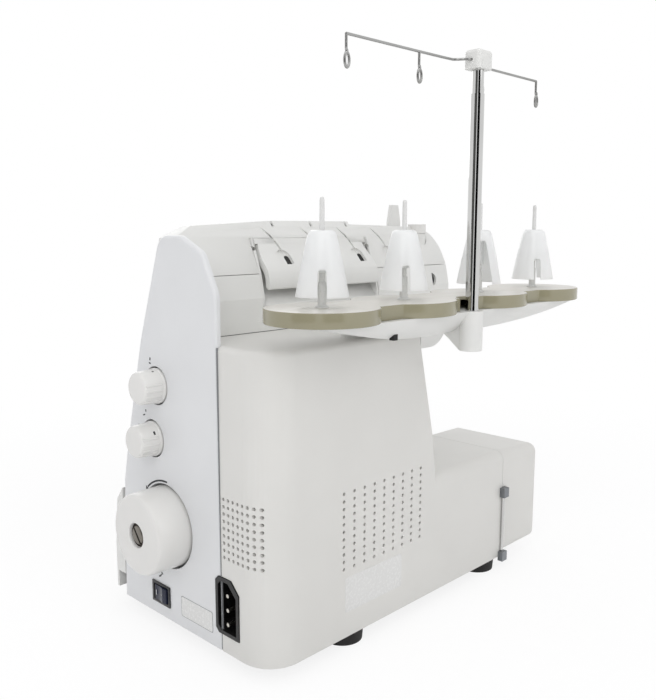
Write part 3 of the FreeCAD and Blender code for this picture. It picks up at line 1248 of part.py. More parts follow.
def pole_cap():
    """The white block on top of the pole, which turns with the guide wire."""
    x, y = across(s.pole_across), REAR + s.pole_behind
    half, deep = s.cap_wide / 2, s.cap_deep / 2
    body = prism("cap_block", "XY", [(x - half, y - deep), (x + half, y - deep), (x + half, y + deep),
                                     (x - half, y + deep)], above(CAP_LOW), above((CAP_LOW + s.cap_tall)))
    soften(body, s.cap_round, lambda p, d: p.z > above(CAP_LOW).number + 1)
    bore = rod("cap_bore", "Z", (x, y, above(CAP_LOW - s.wall)),
               s.pole_radius - s.pole_wall - s.running_gap, (CAP_LOW + s.inner_cap_long) - CAP_LOW + s.wall)
    groove = rod("cap_wire_bore", "X", (x - half * 2, y, above((CAP_LOW + s.wire_seat_high))), s.wire_radius, s.cap_wide * 2)
    return node("pole_cap", cut("cap_body", body, bore, groove))


def bent(points, radius):
    """A wire path through points, with each corner turned by an arc of one radius."""
    edges = []
    start = points[0]
    for before, corner, after in zip(points, points[1:], points[2:]):
        come, leave = (before - corner).normalize(), (after - corner).normalize()
        half = come.getAngle(leave) / 2
        back = radius / math.tan(half)
        middle = (come + leave).normalize()
        depth = radius / math.sin(half) - radius
        first, last = corner + come * back, corner + leave * back
        edges.append(Part.LineSegment(start, first).toShape())
        edges.append(Part.Arc(first, corner + middle * depth, last).toShape())
        start = last
    edges.append(Part.LineSegment(start, points[-1]).toShape())
    return Part.Wire(edges)


def swept(path, radius):
    """A round bar along a path."""
    start = path.Edges[0].Vertexes[0].Point
    heading = path.Edges[0].tangentAt(path.Edges[0].FirstParameter)
    ring = Part.Wire(Part.Circle(start, heading, radius).toShape())
    return path.makePipeShell([ring], True, False)


def thread_guide_wire():
    """The bent guide wire with its four hanging thread eyes."""
    number = {name: getattr(s, name).number for name in (
        "wire_radius", "wire_shift", "wire_bend", "loop_wide", "loop_long", "loop_drop",
        "cap_wide", "pole_across")}
    y_back = (REAR + s.pole_behind).number
    y_front = y_back - number["wire_shift"]
    z = above(CAP_LOW + s.wire_seat_high).number
    loops = [s.loop_first.number, s.loop_second.number, s.loop_third.number, s.loop_fourth.number]
    x = [across(where).number for where in loops]
    pole_x = across(s.pole_across).number
    leave = number["cap_wide"] / 2 + number["wire_bend"] * 0.7
    jog = leave + number["wire_shift"] / 2
    path = bent([V(x[0], y_front, z), V(pole_x + jog, y_front, z), V(pole_x + leave, y_back, z),
                 V(pole_x - leave, y_back, z), V(pole_x - jog, y_front, z), V(x[3], y_front, z)],
                number["wire_bend"])
    radius = number["wire_radius"]
    bar = swept(path, radius)
    wide, low = number["loop_wide"] / 2, z - number["loop_drop"]
    neck, free = low + number["loop_long"], radius * 2.4
    for where in x:
        eye = bent([V(where, y_front, z), V(where, y_front, neck), V(where - wide, y_front, neck - wide),
                    V(where - wide, y_front, low), V(where + wide, y_front, low),
                    V(where + wide, y_front, neck - wide - radius), V(where + free, y_front, neck - free)],
                   wide / 2)
        bar = bar.fuse(swept(eye, radius * 0.9))
    item = DOC.addObject("Part::Feature", "guide_wire_body")
    item.Shape = bar
    return node("thread_guide_wire", item)


# ---- carry handle ----

def handle_well():
    """The well in the back of the arm that the carry handle folds into."""
    gap, wall = s.handle_gap, s.well_wall
    right, left = s.handle_right - gap, s.handle_left + gap
    outline = [
        (ahead(s.well_front + wall), above(s.well_low - wall)),
        (ahead(s.well_front + wall), above(s.pivot_up + s.well_head)),
        (ahead(s.well_roof_ahead), above(s.pivot_up + s.well_head)),
        (ahead(s.seam_ahead + s.well_inset), above(s.seam_up)),
        (ahead(s.ledge_depth + s.well_inset), above(s.roll_up)),
        (ahead(s.ledge_depth + s.well_inset), above(s.well_low - wall)),
    ]
    body = prism("well_body", "YZ", outline, across(left + wall), across(right - wall))
    room = box("well_hollow", (across(left), ahead(s.well_front), above(s.well_low)),
               (across(right), REAR, above(s.pivot_up + s.well_head - wall)))
    bore = rod("well_bore", "X", (across(left + wall * 2), ahead(s.pivot_ahead), above(s.pivot_up)),
               s.pivot_radius + s.running_gap, left - right + wall * 4)
    notches = [box(f"well_notch_{i}", (across(where + s.groove_wide / 2), ahead(s.well_front + wall * 2),
                                       above(s.notch_up)),
                   (across(where - s.groove_wide / 2), REAR, above(s.ridge_up)))
               for i, where in enumerate(groove_places()[:3])]
    opened = cut("well_open", body, room, bore)
    return node("handle_well", cut("well_cut", fuse("well_closed", opened, handle_saddle()), *notches))


def handle_saddle():
    """The sloping web that closes the arm's back between the handle's arms, above the grip."""
    lean = (s.well_roof_ahead - s.seam_ahead - s.well_inset) / (s.pivot_up + s.well_head - s.seam_up)
    low, high = s.grip_high + s.handle_gap, s.pivot_up + s.well_head
    back = s.seam_ahead + s.well_inset + lean * (low - s.seam_up)
    inboard = s.handle_arm_wide + s.handle_gap
    return prism("saddle", "YZ", [
        (ahead(back), above(low)), (ahead(s.well_roof_ahead), above(high)),
        (ahead(s.well_roof_ahead + s.well_wall), above(high)), (ahead(back + s.well_wall), above(low)),
    ], across(s.handle_left - inboard), across(s.handle_right + inboard))


def carry_handle():
    """The folding carry handle: two arms on stub pins and a rounded grip."""
    right, left = s.handle_right, s.handle_left
    y, z = ahead(s.pivot_ahead), above(s.pivot_up)
    grip_y = ahead(s.ledge_depth) + s.grip_proud
    body = prism("handle_grip", "YZ", [
        (grip_y, above(s.grip_low)), (grip_y, above(s.grip_high)),
        (grip_y - s.grip_deep, above(s.grip_high)), (grip_y - s.grip_deep, above(s.grip_low)),
    ], across(left), across(right))
    soften(body, s.grip_round, lambda p, d: along(d, "x"))
    parts = [body]
    for i, (start, side) in enumerate(((left, -1), (right + s.handle_arm_wide, 1))):
        x = across(start)
        thick = s.arm_thick / 2
        arm = prism(f"handle_arm_{i}", "YZ", [
            (grip_y - s.grip_round, above(s.grip_low + s.grip_round)),
            (grip_y - s.grip_round, above(s.grip_high)),
            (y + thick, z), (y - thick, z),
            (grip_y - s.grip_deep + s.grip_round / 2, above(s.grip_high) - s.grip_round),
            (grip_y - s.grip_deep + s.grip_round / 2, above(s.grip_low + s.grip_round)),
        ], x, x + s.handle_arm_wide)
        parts.append(arm)
        parts.append(rod(f"handle_arm_end_{i}", "X", (x, y, z), s.arm_end_radius, s.handle_arm_wide))
    reach = s.handle_gap + s.well_wall
    parts.append(rod("handle_pin_left", "X", (across(left + reach), y, z), s.pivot_radius, reach
                     + s.handle_arm_wide / 2))
    parts.append(rod("handle_pin_right", "X", (across(right + s.handle_arm_wide / 2), y, z), s.pivot_radius,
                     reach + s.handle_arm_wide / 2))
    return node("carry_handle", fuse("carry_handle_body", *parts))


def thread_guide():
    """The light tapered thread guide that stands on the top cover."""
    x, half, top = across(s.guide_across), s.guide_wide / 2, s.guide_top_wide / 2
    body = prism("guide_plate", "XZ", [
        (x - half, above(s.guide_low)), (x + half, above(s.guide_low)),
        (x + half, above(s.ridge_up)), (x + top, above(s.guide_high)), (x - top, above(s.guide_high)),
        (x - half, above(s.ridge_up)),
    ], ahead(s.guide_ahead) - s.guide_thick / 2, ahead(s.guide_ahead) + s.guide_thick / 2)
    return node("thread_guide", body)


def pressure_knob():
    """The round presser-foot pressure knob with its stem."""
    x, y = across(s.knob_across), ahead(s.knob_ahead)
    low = s.knob_high - s.knob_radius
    head = rod("knob_head", "Z", (x, y, above(low)), s.knob_radius, s.knob_radius)
    stem = rod("knob_stem_rod", "Z", (x, y, above(s.knob_seat)), s.knob_stem, low - s.knob_seat)
    return node("pressure_knob", fuse("pressure_knob_body", head, stem))


# ---- tension dials ----

def tension_centre():
    """Y and Z of the line that the tension dials turn on."""
    steep = (s.front_brow_ahead - s.crown_ahead) / (s.crown_up - s.front_brow_up)
    surface = s.front_brow_ahead - s.front_inset - steep * (s.tension_up - s.front_brow_up)
    return ahead(surface) + (s.tension_radius - s.tension_proud), above(s.tension_up)


def tension_dials():
    """The four thumb dials, each with a knurled edge, and the spindle that they turn on."""
    y, z = tension_centre()
    for i, where in enumerate(groove_places()):
        x = across(where + s.tension_wide / 2)
        disc = rod(f"tension_disc_{i}", "X", (x, y, z), s.tension_radius, s.tension_wide)
        bore = rod(f"tension_bore_{i}", "X", (x - s.wall, y, z),
                   s.tension_spindle_radius + s.running_gap, s.tension_wide + s.wall * 2)
        flutes = []
        count = int(s.tension_flutes.number)
        for k in range(count):
            turn = 2 * math.pi * k / count
            flutes.append(rod(f"tension_flute_{i}_{k}", "X", (
                x - s.wall, y + s.tension_radius * math.cos(turn),
                z + s.tension_radius * math.sin(turn)), s.flute_radius / 2, s.tension_wide + s.wall * 2))
        node(f"tension_dial_{i + 1}", cut(f"tension_body_{i}", disc, bore, *flutes))
    start = s.post_left + s.post_thick
    return node("tension_spindle", rod("tension_spindle_body", "X", (across(start), y, z),
                                       s.tension_spindle_radius, start - s.post_right))


# ---- main frame ----

def frame_box(name, from_across, to_across, rear, front, low, high):
    """A block of the casting, by its distances across, ahead and above."""
    return box(name, (across(to_across), ahead(front), above(low)),
               (across(from_across), ahead(rear), above(high)))


def main_frame():
    """The cast frame: floor, three bearing walls, arm beam, bar guides, dial posts and looper plate."""
    wall, rear, front = s.frame_wall, s.frame_rear, s.frame_front
    low, beam_low = s.base_thick, s.arm_beam_up
    beam_high = beam_low + s.arm_beam_thick
    floor_high = low + s.frame_floor
    y, z = tension_centre()
    parts = [
        frame_box("frame_floor", s.frame_right_across, s.frame_floor_end, rear, front, low, floor_high),
        frame_box("frame_wall_right", s.frame_right_across, s.frame_right_across + wall, rear, front, low, beam_high),
        frame_box("frame_wall_column", s.frame_column_across, s.frame_column_across + wall, rear, front, low,
                  beam_high),
        frame_box("frame_wall_bed", s.frame_bed_across, s.frame_bed_across + wall, rear, front, low,
                  s.wheel_up + s.bearing_radius + s.wall),
        frame_box("frame_beam", s.frame_right_across, s.arm_beam_end, rear, front, beam_low, beam_high),
        frame_box("frame_looper_plate", s.frame_bed_across, s.frame_floor_end, s.looper_plate_front - wall,
                  s.looper_plate_front, low, s.looper_plate_up),
        frame_box("frame_bar_guide", s.needle_across - s.clamp_wide, s.needle_across + s.clamp_wide / 2,
                  s.presser_ahead - s.bar_radius * 2, s.needle_ahead + s.bar_radius * 2, beam_high,
                  s.guide_block_up),
    ]
    for i, where in enumerate((s.post_right, s.post_left)):
        parts.append(box(f"frame_post_{i}", (across(where + s.post_thick), y - s.tension_spindle_radius * 2,
                                             above(beam_high - s.wall)),
                         (across(where), y + s.tension_spindle_radius * 2,
                          z + s.tension_spindle_radius * 2)))
    holes = [
        rod("frame_shaft_bore", "X", (across(s.shaft_end_across + s.wall), ahead(s.wheel_ahead),
                                      above(s.wheel_up)), s.bearing_radius, s.shaft_end_across + s.wall),
        rod("frame_spindle_bore", "X", (across(s.post_left + s.post_thick * 2), y, z),
            s.tension_spindle_radius, s.post_left),
        rod("frame_needle_bore", "Z", (across(s.needle_across), ahead(s.needle_ahead), above(s.head_up)),
            s.bar_radius + s.running_gap, s.ridge_up),
        rod("frame_presser_bore", "Z", (across(s.needle_across), ahead(s.presser_ahead), above(s.head_up)),
            s.bar_radius + s.running_gap, s.ridge_up),
    ]
    lever_lug = frame_box("frame_lever_lug", s.lever_across + s.lever_thick + s.fit_gap, s.lever_across
                          + s.lever_thick + s.fit_gap + s.post_thick, s.lever_ahead - s.lever_hub,
                          s.lever_ahead + s.lever_hub, s.lever_up - s.lever_hub, beam_low + s.wall)
    lever_pin = rod("frame_lever_pin", "X", (across(s.lever_across + s.lever_thick + s.fit_gap * 2),
                                             ahead(s.lever_ahead), above(s.lever_up)), s.pivot_radius,
                    s.lever_thick + s.fit_gap * 2)
    body = cut("frame_bored", fuse("frame_solid", *parts), *holes)
    return node("main_frame", fuse("frame_body", body, lever_lug, lever_pin, *looper_studs(),
                                  *knife_stud()))


def looper_studs():
    """The studs on the frame that the loopers and the knife arm turn on."""
    plate = ahead(s.looper_plate_front)
    studs = []
    for i, (where, up, front) in enumerate((
            (s.lower_looper_across, s.lower_looper_up, s.lower_looper_ahead),
            (s.upper_looper_across, s.upper_looper_up, s.upper_looper_ahead))):
        reach = s.looper_hub_thick / 2 + front
        studs.append(rod(f"looper_stud_{i}", "Y", (across(where), ahead(reach), above(up)),
                         s.looper_stud_radius, plate + reach - REAR))
    return studs


# ---- sewing parts ----

def bars():
    """The needle bar and presser bar with what they carry."""
    x, needle_y, presser_y = across(s.needle_across), ahead(s.needle_ahead), ahead(s.presser_ahead)
    node("needle_bar", rod("needle_bar_body", "Z", (x, needle_y, above(s.needle_bar_low)), s.bar_radius,
                           s.needle_bar_high - s.needle_bar_low))
    half, deep = s.clamp_wide / 2, s.clamp_deep / 2
    clamp_low = s.needle_bar_low - s.wall
    clamp = box("clamp_block", (x - half, needle_y - deep, above(clamp_low)),
                (x + half, needle_y + deep, above(clamp_low + s.clamp_high)))
    seat = rod("clamp_seat", "Z", (x, needle_y, above(s.needle_bar_low)), s.bar_radius, s.clamp_high * 2)
    sockets = [rod(f"needle_socket_{i}", "Z", (x + s.needle_pitch * side / 2, needle_y,
                                               above(clamp_low - s.wall)), s.needle_radius, s.wall * 2)
               for i, side in enumerate((-1, 1))]
    node("needle_clamp", cut("clamp_body", clamp, seat, *sockets))
    needles = []
    for i, side in enumerate((-1, 1)):
        place = (x + s.needle_pitch * side / 2, needle_y, above(clamp_low + s.wall - s.needle_long))
        needles.append(rod(f"needle_{i}", "Z", place, s.needle_radius, s.needle_long))
    node("needles", group("needle_pair", needles))
    node("presser_bar", rod("presser_bar_body", "Z", (x, presser_y, above(s.presser_low)), s.bar_radius,
                            s.presser_high - s.presser_low))
    return presser_foot(x, presser_y)


def presser_foot(x, y):
    """The presser foot: a sole with a needle opening, and the shank that holds the bar."""
    sole_low = s.bed_up + s.fit_gap
    half = s.toe_wide / 2
    sole = box("foot_sole", (x - half, ahead(s.toe_front), above(sole_low)),
               (x + half, ahead(s.toe_rear), above(sole_low + s.toe_thick)))
    toe = box("foot_toe", (x - half, ahead(s.toe_front), above(sole_low)),
              (x + half, ahead(s.toe_front) + s.toe_thick, above(sole_low + s.toe_thick * 2)))
    shank = box("foot_shank", (x - s.ankle_wide / 2, y - s.ankle_wide / 2, above(sole_low)),
                (x + s.ankle_wide / 2, y + s.ankle_wide / 2, above(s.presser_low + s.wall * 2)))
    seat = rod("foot_seat", "Z", (x, y, above(s.presser_low)), s.bar_radius, s.wall * 4)
    opening = box("foot_opening", (x - s.needle_pitch, ahead(s.needle_ahead) - s.wall, above(s.bed_up)),
                  (x + s.needle_pitch, ahead(s.needle_ahead) + s.wall, above(sole_low + s.toe_thick * 3)))
    return node("presser_foot", cut("presser_foot_cut", fuse("foot_body", sole, toe, shank), seat,
                                    opening))


def lifter_lever():
    """The lever behind the presser bar that lifts the foot."""
    low_x = across(s.lever_across + s.lever_thick)
    y, z = ahead(s.lever_ahead), above(s.lever_up)
    hub = rod("lever_hub_disc", "X", (low_x, y, z), s.lever_hub, s.lever_thick)
    arm = prism("lever_arm", "YZ", [
        (y - s.lever_hub / 2, z), (y + s.lever_hub, z),
        (y + s.lever_reach, z - s.lever_drop), (y + s.lever_reach - s.lever_width, z - s.lever_drop),
    ], low_x, low_x + s.lever_thick)
    bore = rod("lever_bore", "X", (low_x - s.wall, y, z), s.pivot_radius + s.running_gap,
               s.lever_thick + s.wall * 2)
    return node("lifter_lever", cut("lever_cut", fuse("lever_body", hub, arm), bore))


def plates():
    """The cloth plate, the needle plate let into it, and the feed dogs below."""
    top = s.bed_up
    cloth = frame_box("cloth_slab", s.cloth_plate_right, SEAM - s.seam / 2, s.ledge_depth + s.seam,
                      s.looper_top_ahead - s.seam, top - s.cloth_plate_thick, top)
    seat = frame_box("plate_seat", s.plate_right - s.fit_gap, s.plate_left + s.fit_gap, s.plate_rear
                     - s.fit_gap, s.plate_front + s.fit_gap, top - s.plate_thick, top + s.wall)
    lip = s.plate_lip
    through = frame_box("plate_through", s.plate_right + lip, s.plate_left - lip, s.plate_rear + lip,
                        s.plate_front - lip, top - s.cloth_plate_thick - s.wall, top + s.wall)
    knife_way = frame_box("knife_way", s.knife_across - s.knife_thick * 2, s.knife_across
                          + s.fit_gap * 2, s.plate_front - s.wall * 2, s.looper_shoulder,
                          top - s.cloth_plate_thick - s.wall, top + s.wall)
    node("cloth_plate", cut("cloth_plate_cut", cloth, seat, through, knife_way))
    plate = frame_box("needle_plate_slab", s.plate_right, s.plate_left, s.plate_rear, s.plate_front,
                      top - s.plate_thick, top)
    gap, x = s.dog_slot_gap, s.needle_across
    slots = [frame_box(f"dog_slot_{i}", x + s.dog_row_spread * side / 2 - s.dog_row_wide / 2 - gap,
                       x + s.dog_row_spread * side / 2 + s.dog_row_wide / 2 + gap,
                       s.dog_rear - s.dog_travel - gap, s.dog_front + s.dog_travel + gap,
                       top - s.wall * 2, top + s.wall) for i, side in enumerate((-1, 1))]
    needle_hole = frame_box("needle_hole", x - s.needle_pitch, x + s.needle_pitch,
                            s.needle_ahead - s.wall / 2, s.needle_ahead + s.wall / 2,
                            top - s.wall * 2, top + s.wall)
    knife_slot = frame_box("knife_slot", s.knife_across - s.knife_thick * 2, s.knife_across
                           + s.fit_gap * 2, s.knife_rear - s.wall * 3, s.looper_shoulder,
                           top - s.wall * 2, top + s.wall)
    node("needle_plate", cut("needle_plate_cut", plate, needle_hole, knife_slot, *slots))
    rows = [frame_box(f"dog_row_{i}", x + s.dog_row_spread * side / 2 - s.dog_row_wide / 2,
                      x + s.dog_row_spread * side / 2 + s.dog_row_wide / 2, s.dog_rear, s.dog_front,
                      top - s.dog_tall, top - s.dog_below) for i, side in enumerate((-1, 1))]
    span = (s.dog_row_spread + s.dog_row_wide) / 2
    bar = frame_box("dog_bar", x - span, x + span, s.dog_rear, s.dog_front,
                    s.looper_plate_up + s.fit_gap, top - s.dog_tall + s.wall)
    return node("feed_dogs", fuse("feed_dogs_body", bar, *rows))


def looper(name, where, up, front, reach, rise):
    """A looper: a hub on its stud and a bent blade that ends in a point."""
    x, y, z = across(where), ahead(front), above(up)
    half = s.looper_hub_thick / 2
    hub = rod(f"{name}_hub", "Y", (x, y - half, z), s.looper_hub_radius, half * 2)
    wide = s.looper_blade
    blade = prism(f"{name}_blade", "XZ", [
        (x - wide, z), (x + wide, z), (x + wide, z + rise - wide),
        (x - reach, z + rise + wide / 2), (x - reach, z + rise), (x - wide, z + rise - wide * 3),
    ], y - wide / 2, y + wide / 2)
    bore = rod(f"{name}_bore", "Y", (x, y - half * 2, z), s.looper_stud_radius + s.running_gap, half * 4)
    return node(name, cut(f"{name}_cut", fuse(f"{name}_body", hub, blade), bore))


def knives():
    """The moving knife on its arm and the fixed knife beside it."""
    x = across(s.knife_across)
    thick = s.knife_thick
    pivot_y, pivot_z = ahead(s.knife_pivot_ahead), above(s.knife_pivot_up)
    blade = prism("knife_blade", "YZ", [
        (ahead(s.knife_front), above(s.knife_top)), (ahead(s.knife_rear), above(s.knife_top - s.wall)),
        (ahead(s.knife_rear), above(s.bed_up + s.wall / 2)), (ahead(s.knife_front), above(s.bed_up - s.wall)),
        (ahead(s.plate_front + s.wall), above(s.bed_up - s.cloth_plate_thick * 4)),
        (pivot_y + s.hinge_eye_radius, pivot_z), (pivot_y - s.hinge_eye_radius, pivot_z),
        (ahead(s.looper_top_ahead), above(s.bed_up - s.cloth_plate_thick * 4)),
        (ahead(s.looper_top_ahead - s.wall * 2), above(s.bed_up)),
    ], x, x + thick)
    return body_of_knife(blade, x, thick, pivot_y, pivot_z)


def body_of_knife(blade, x, thick, y, z):
    """Finish the moving knife with its hub, and add the fixed knife."""
    hub = rod("knife_hub", "X", (x - s.wall, y, z), s.looper_hub_radius, thick + s.wall * 2)
    bore = rod("knife_bore", "X", (x - s.wall * 2, y, z), s.looper_stud_radius + s.running_gap,
               thick + s.wall * 4)
    node("moving_knife", cut("moving_knife_cut", fuse("moving_knife_body", blade, hub), bore))
    fixed = frame_box("fixed_knife_blade", s.fixed_knife_across, s.fixed_knife_across + thick,
                      s.knife_rear, s.knife_front - s.wall, s.fixed_knife_low, s.bed_up - s.plate_thick)
    return node("fixed_knife", fixed)


def knife_stud():
    """The bracket and stud that the moving knife turns on."""
    x = across(s.knife_across)
    y, z = ahead(s.knife_pivot_ahead), above(s.knife_pivot_up)
    right = x + s.knife_thick + s.wall + s.fit_gap
    high = s.base_thick + s.frame_floor
    block = box("knife_block", (right, y - s.looper_hub_radius, above(s.base_thick)),
                (right + s.post_thick, y + s.looper_hub_radius, z + s.looper_hub_radius))
    foot = box("knife_block_foot", (right, y - s.looper_hub_radius, above(s.base_thick)),
               (right + s.post_thick, ahead(s.frame_front) + s.wall, above(high)))
    stud = rod("knife_stud_rod", "X", (x - s.wall, y, z), s.looper_stud_radius, right - x + s.wall * 2)
    return [block, foot, stud]


def lamp():
    """The small lamp under the head."""
    return node("lamp", box("lamp_body", (across(s.lamp_across + s.lamp_long), ahead(s.lamp_ahead
                                                                                   + s.lamp_deep),
                                          above(s.head_up - s.lamp_high)),
                            (across(s.lamp_across), ahead(s.lamp_ahead), above(s.head_up))))


def build_all():
    """Every sub-part of the machine, from the casing inwards."""
    end_cover()
    rear_cover()
    upper_covers()
    front_panel()
    cloth_plate_cover()
    hinge_rod()
    hinge_brackets()
    base_plate()
    rubber_feet()
    looper_cover()
    looper_cover_pin()
    handwheel()
    handwheel_screw()
    main_shaft()
    shaft_bearings()
    drive_pulley()
    motor_pulley()
    motor()
    timing_belt()
    dial("stitch_length_dial", dial_places()[0])
    dial("differential_dial", dial_places()[1])
    dial_bracket()
    power_switch()
    power_inlet()
    spool_tray()
    stand_carrier()
    spool_pins()
    spool_cones()
    pole()
    pole_cap()
    thread_guide_wire()
    handle_well()
    carry_handle()
    thread_guide()
    pressure_knob()
    tension_dials()
    main_frame()
    bars()
    lifter_lever()
    plates()
    looper("lower_looper", s.lower_looper_across, s.lower_looper_up, s.lower_looper_ahead,
           s.lower_looper_reach, s.lower_looper_rise)
    looper("upper_looper", s.upper_looper_across, s.upper_looper_up, s.upper_looper_ahead,
           s.upper_looper_reach, s.upper_looper_rise)
    knives()
    lamp()


def check_and_write():
    """Stop if anything failed, then write one file for each sub-part."""
    DOC.recompute()
    for item in DOC.Objects:
        if "Invalid" in item.State or "Error" in item.State:
            raise RuntimeError(f"{item.Name} did not build: {item.State}")
    os.makedirs("parts", exist_ok=True)
    for item in NODES:
        shape = item.Shape
        if shape.isNull() or not shape.isValid() or not shape.Solids:
            raise RuntimeError(f"{item.Label} has no valid solid")
        shape.exportStep(os.path.join("parts", f"{item.Label}.step"))
    print(len(NODES), "sub-parts written")


build_all()
check_and_write()
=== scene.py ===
"""Serger overlock machine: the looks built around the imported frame.

Each sub-assembly is a class that holds its sizes in millimetres, models its pieces and
dresses them.
"""

import logging
import math
from collections.abc import Callable, Iterable, Iterator, Sequence
from contextlib import contextmanager
from dataclasses import dataclass
from enum import Enum

import bmesh
import bpy
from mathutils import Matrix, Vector


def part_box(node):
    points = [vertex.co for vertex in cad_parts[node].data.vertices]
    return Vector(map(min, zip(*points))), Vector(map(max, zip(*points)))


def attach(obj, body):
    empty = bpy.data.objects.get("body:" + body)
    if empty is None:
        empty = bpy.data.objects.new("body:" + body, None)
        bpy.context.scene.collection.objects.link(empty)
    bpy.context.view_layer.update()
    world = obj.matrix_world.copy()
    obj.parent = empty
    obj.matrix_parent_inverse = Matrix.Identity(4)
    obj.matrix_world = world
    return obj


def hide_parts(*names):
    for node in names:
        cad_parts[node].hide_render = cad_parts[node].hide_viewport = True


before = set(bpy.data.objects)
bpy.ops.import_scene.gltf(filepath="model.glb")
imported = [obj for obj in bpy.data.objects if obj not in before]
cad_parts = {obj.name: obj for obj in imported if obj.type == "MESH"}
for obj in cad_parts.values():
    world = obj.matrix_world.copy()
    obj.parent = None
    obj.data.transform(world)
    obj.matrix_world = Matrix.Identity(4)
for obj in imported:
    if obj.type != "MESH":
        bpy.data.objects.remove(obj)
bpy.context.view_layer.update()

LOG = logging.getLogger("overlock")
# A millimetre in metres, and how close two points are merged.
MM = 0.001
DOUBLES = 0.002 * MM
# A font's body size for each millimetre of a mark, and half the print's thickness in millimetres.
BODY_SIZE = 1.3
PRINT_FILM = 0.06
# A spool pin's radius at its foot, and how far the inner pins stand from the row's middle.
PIN_RADIUS = 2.4
INNER_PIN = 43.3
# The end cover's outer face, the back face and the underside of the covers, in metres.
CAD_SIDE = Vector(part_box("end_cover")[1]).x
REAR_FACE = Vector(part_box("rear_cover")[1]).y
UNDERSIDE = Vector(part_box("end_cover")[0]).z

Test = Callable[[Vector, Vector], bool]
Pair = tuple[float, float]
Triple = tuple[float, float, float]


class Axis(Enum):
    """The three directions that a piece can be turned about."""

    X = "x"
    Y = "y"
    Z = "z"

    @property
    def direction(self) -> Vector:
        """The unit vector of the axis."""
        return Vector([1.0 if self.value == letter else 0.0 for letter in "xyz"])

    @property
    def tilt(self) -> Triple:
        """The rotation that lays a flat circle square to the axis."""
        quarter = math.pi / 2
        tilts = {"x": (0.0, quarter, 0.0), "y": (-quarter, 0.0, 0.0), "z": (0.0, 0.0, 0.0)}
        return tilts[self.value]


# ---------------------------------------------------------------- modelling tools


def deselect() -> None:
    """Leave edit mode and deselect every object."""
    if bpy.context.object and bpy.context.object.mode != "OBJECT":
        bpy.ops.object.mode_set(mode="OBJECT")
    bpy.ops.object.select_all(action="DESELECT")


def make_active(piece: bpy.types.Object) -> None:
    """Select one object alone and make it the active one."""
    deselect()
    piece.select_set(True)
    bpy.context.view_layer.objects.active = piece


def settled(name: str) -> bpy.types.Object:
    """Name the object just added and bake its place into its mesh.

    Args:
        name: the piece's name.

    Returns:
        The object, at the origin.
    """
    piece = bpy.context.object
    piece.name = name
    piece.data.name = name
    bpy.ops.object.transform_apply(location=True, rotation=True, scale=True)
    return piece


@contextmanager
def editing(piece: bpy.types.Object) -> Iterator[None]:
    """Edit one piece with nothing in it selected, and leave edit mode afterwards."""
    make_active(piece)
    bpy.ops.object.mode_set(mode="EDIT")
    bpy.ops.mesh.select_mode(type="FACE")
    bpy.ops.mesh.select_all(action="DESELECT")
    yield
    bpy.ops.object.mode_set(mode="OBJECT")


def pick_faces(piece: bpy.types.Object, test: Test) -> None:
    """Select the faces that a test accepts, in edit mode.

    Args:
        piece: the piece being edited.
        test: takes a face's centre and normal.
    """
    mesh = bmesh.from_edit_mesh(piece.data)
    for face in mesh.faces:
        face.select_set(test(face.calc_center_median(), face.normal))
    bmesh.update_edit_mesh(piece.data)


def pick_edges(piece: bpy.types.Object, test: Test) -> None:
    """Select the edges that a test accepts, in edit mode.

    Args:
        piece: the piece being edited.
        test: takes an edge's middle and direction.
    """
    bpy.ops.mesh.select_mode(type="EDGE")
    mesh = bmesh.from_edit_mesh(piece.data)
    for edge in mesh.edges:
        ends = [vertex.co for vertex in edge.verts]
        edge.select_set(test((ends[0] + ends[1]) / 2, (ends[1] - ends[0]).normalized()))
    bmesh.update_edit_mesh(piece.data)


def modify(piece: bpy.types.Object, kind: str, **settings: object) -> None:
    """Add a modifier with its settings and apply it.

    Args:
        piece: the piece to change.
        kind: the modifier's type, such as BEVEL.
        **settings: the modifier's own settings.
    """
    make_active(piece)
    modifier = piece.modifiers.new(kind.title(), kind)
    for key, value in settings.items():
        setattr(modifier, key, value)
    bpy.ops.object.modifier_apply(modifier=modifier.name)


def round_edges(
    piece: bpy.types.Object, width: float, angle: float = 30.0, segments: int = 3
) -> None:
    """Round every edge sharper than an angle.

    Args:
        piece: the piece to round.
        width: the rounding's width in millimetres.
        angle: the smallest angle rounded, in degrees.
        segments: how many faces each rounding has.
    """
    modify(
        piece,
        "BEVEL",
        width=width * MM,
        segments=segments,
        limit_method="ANGLE",
        angle_limit=math.radians(angle),
        use_clamp_overlap=True,
    )


def make_smooth(piece: bpy.types.Object, angle: float = 40.0) -> None:
    """Shade a piece smooth where its faces meet at less than an angle in degrees."""
    make_active(piece)
    bpy.ops.object.shade_smooth_by_angle(angle=math.radians(angle))


def tidy_mesh(piece: bpy.types.Object) -> None:
    """Merge doubles and turn every face outwards."""
    with editing(piece):
        bpy.ops.mesh.select_all(action="SELECT")
        bpy.ops.mesh.remove_doubles(threshold=DOUBLES)
        bpy.ops.mesh.normals_make_consistent(inside=False)


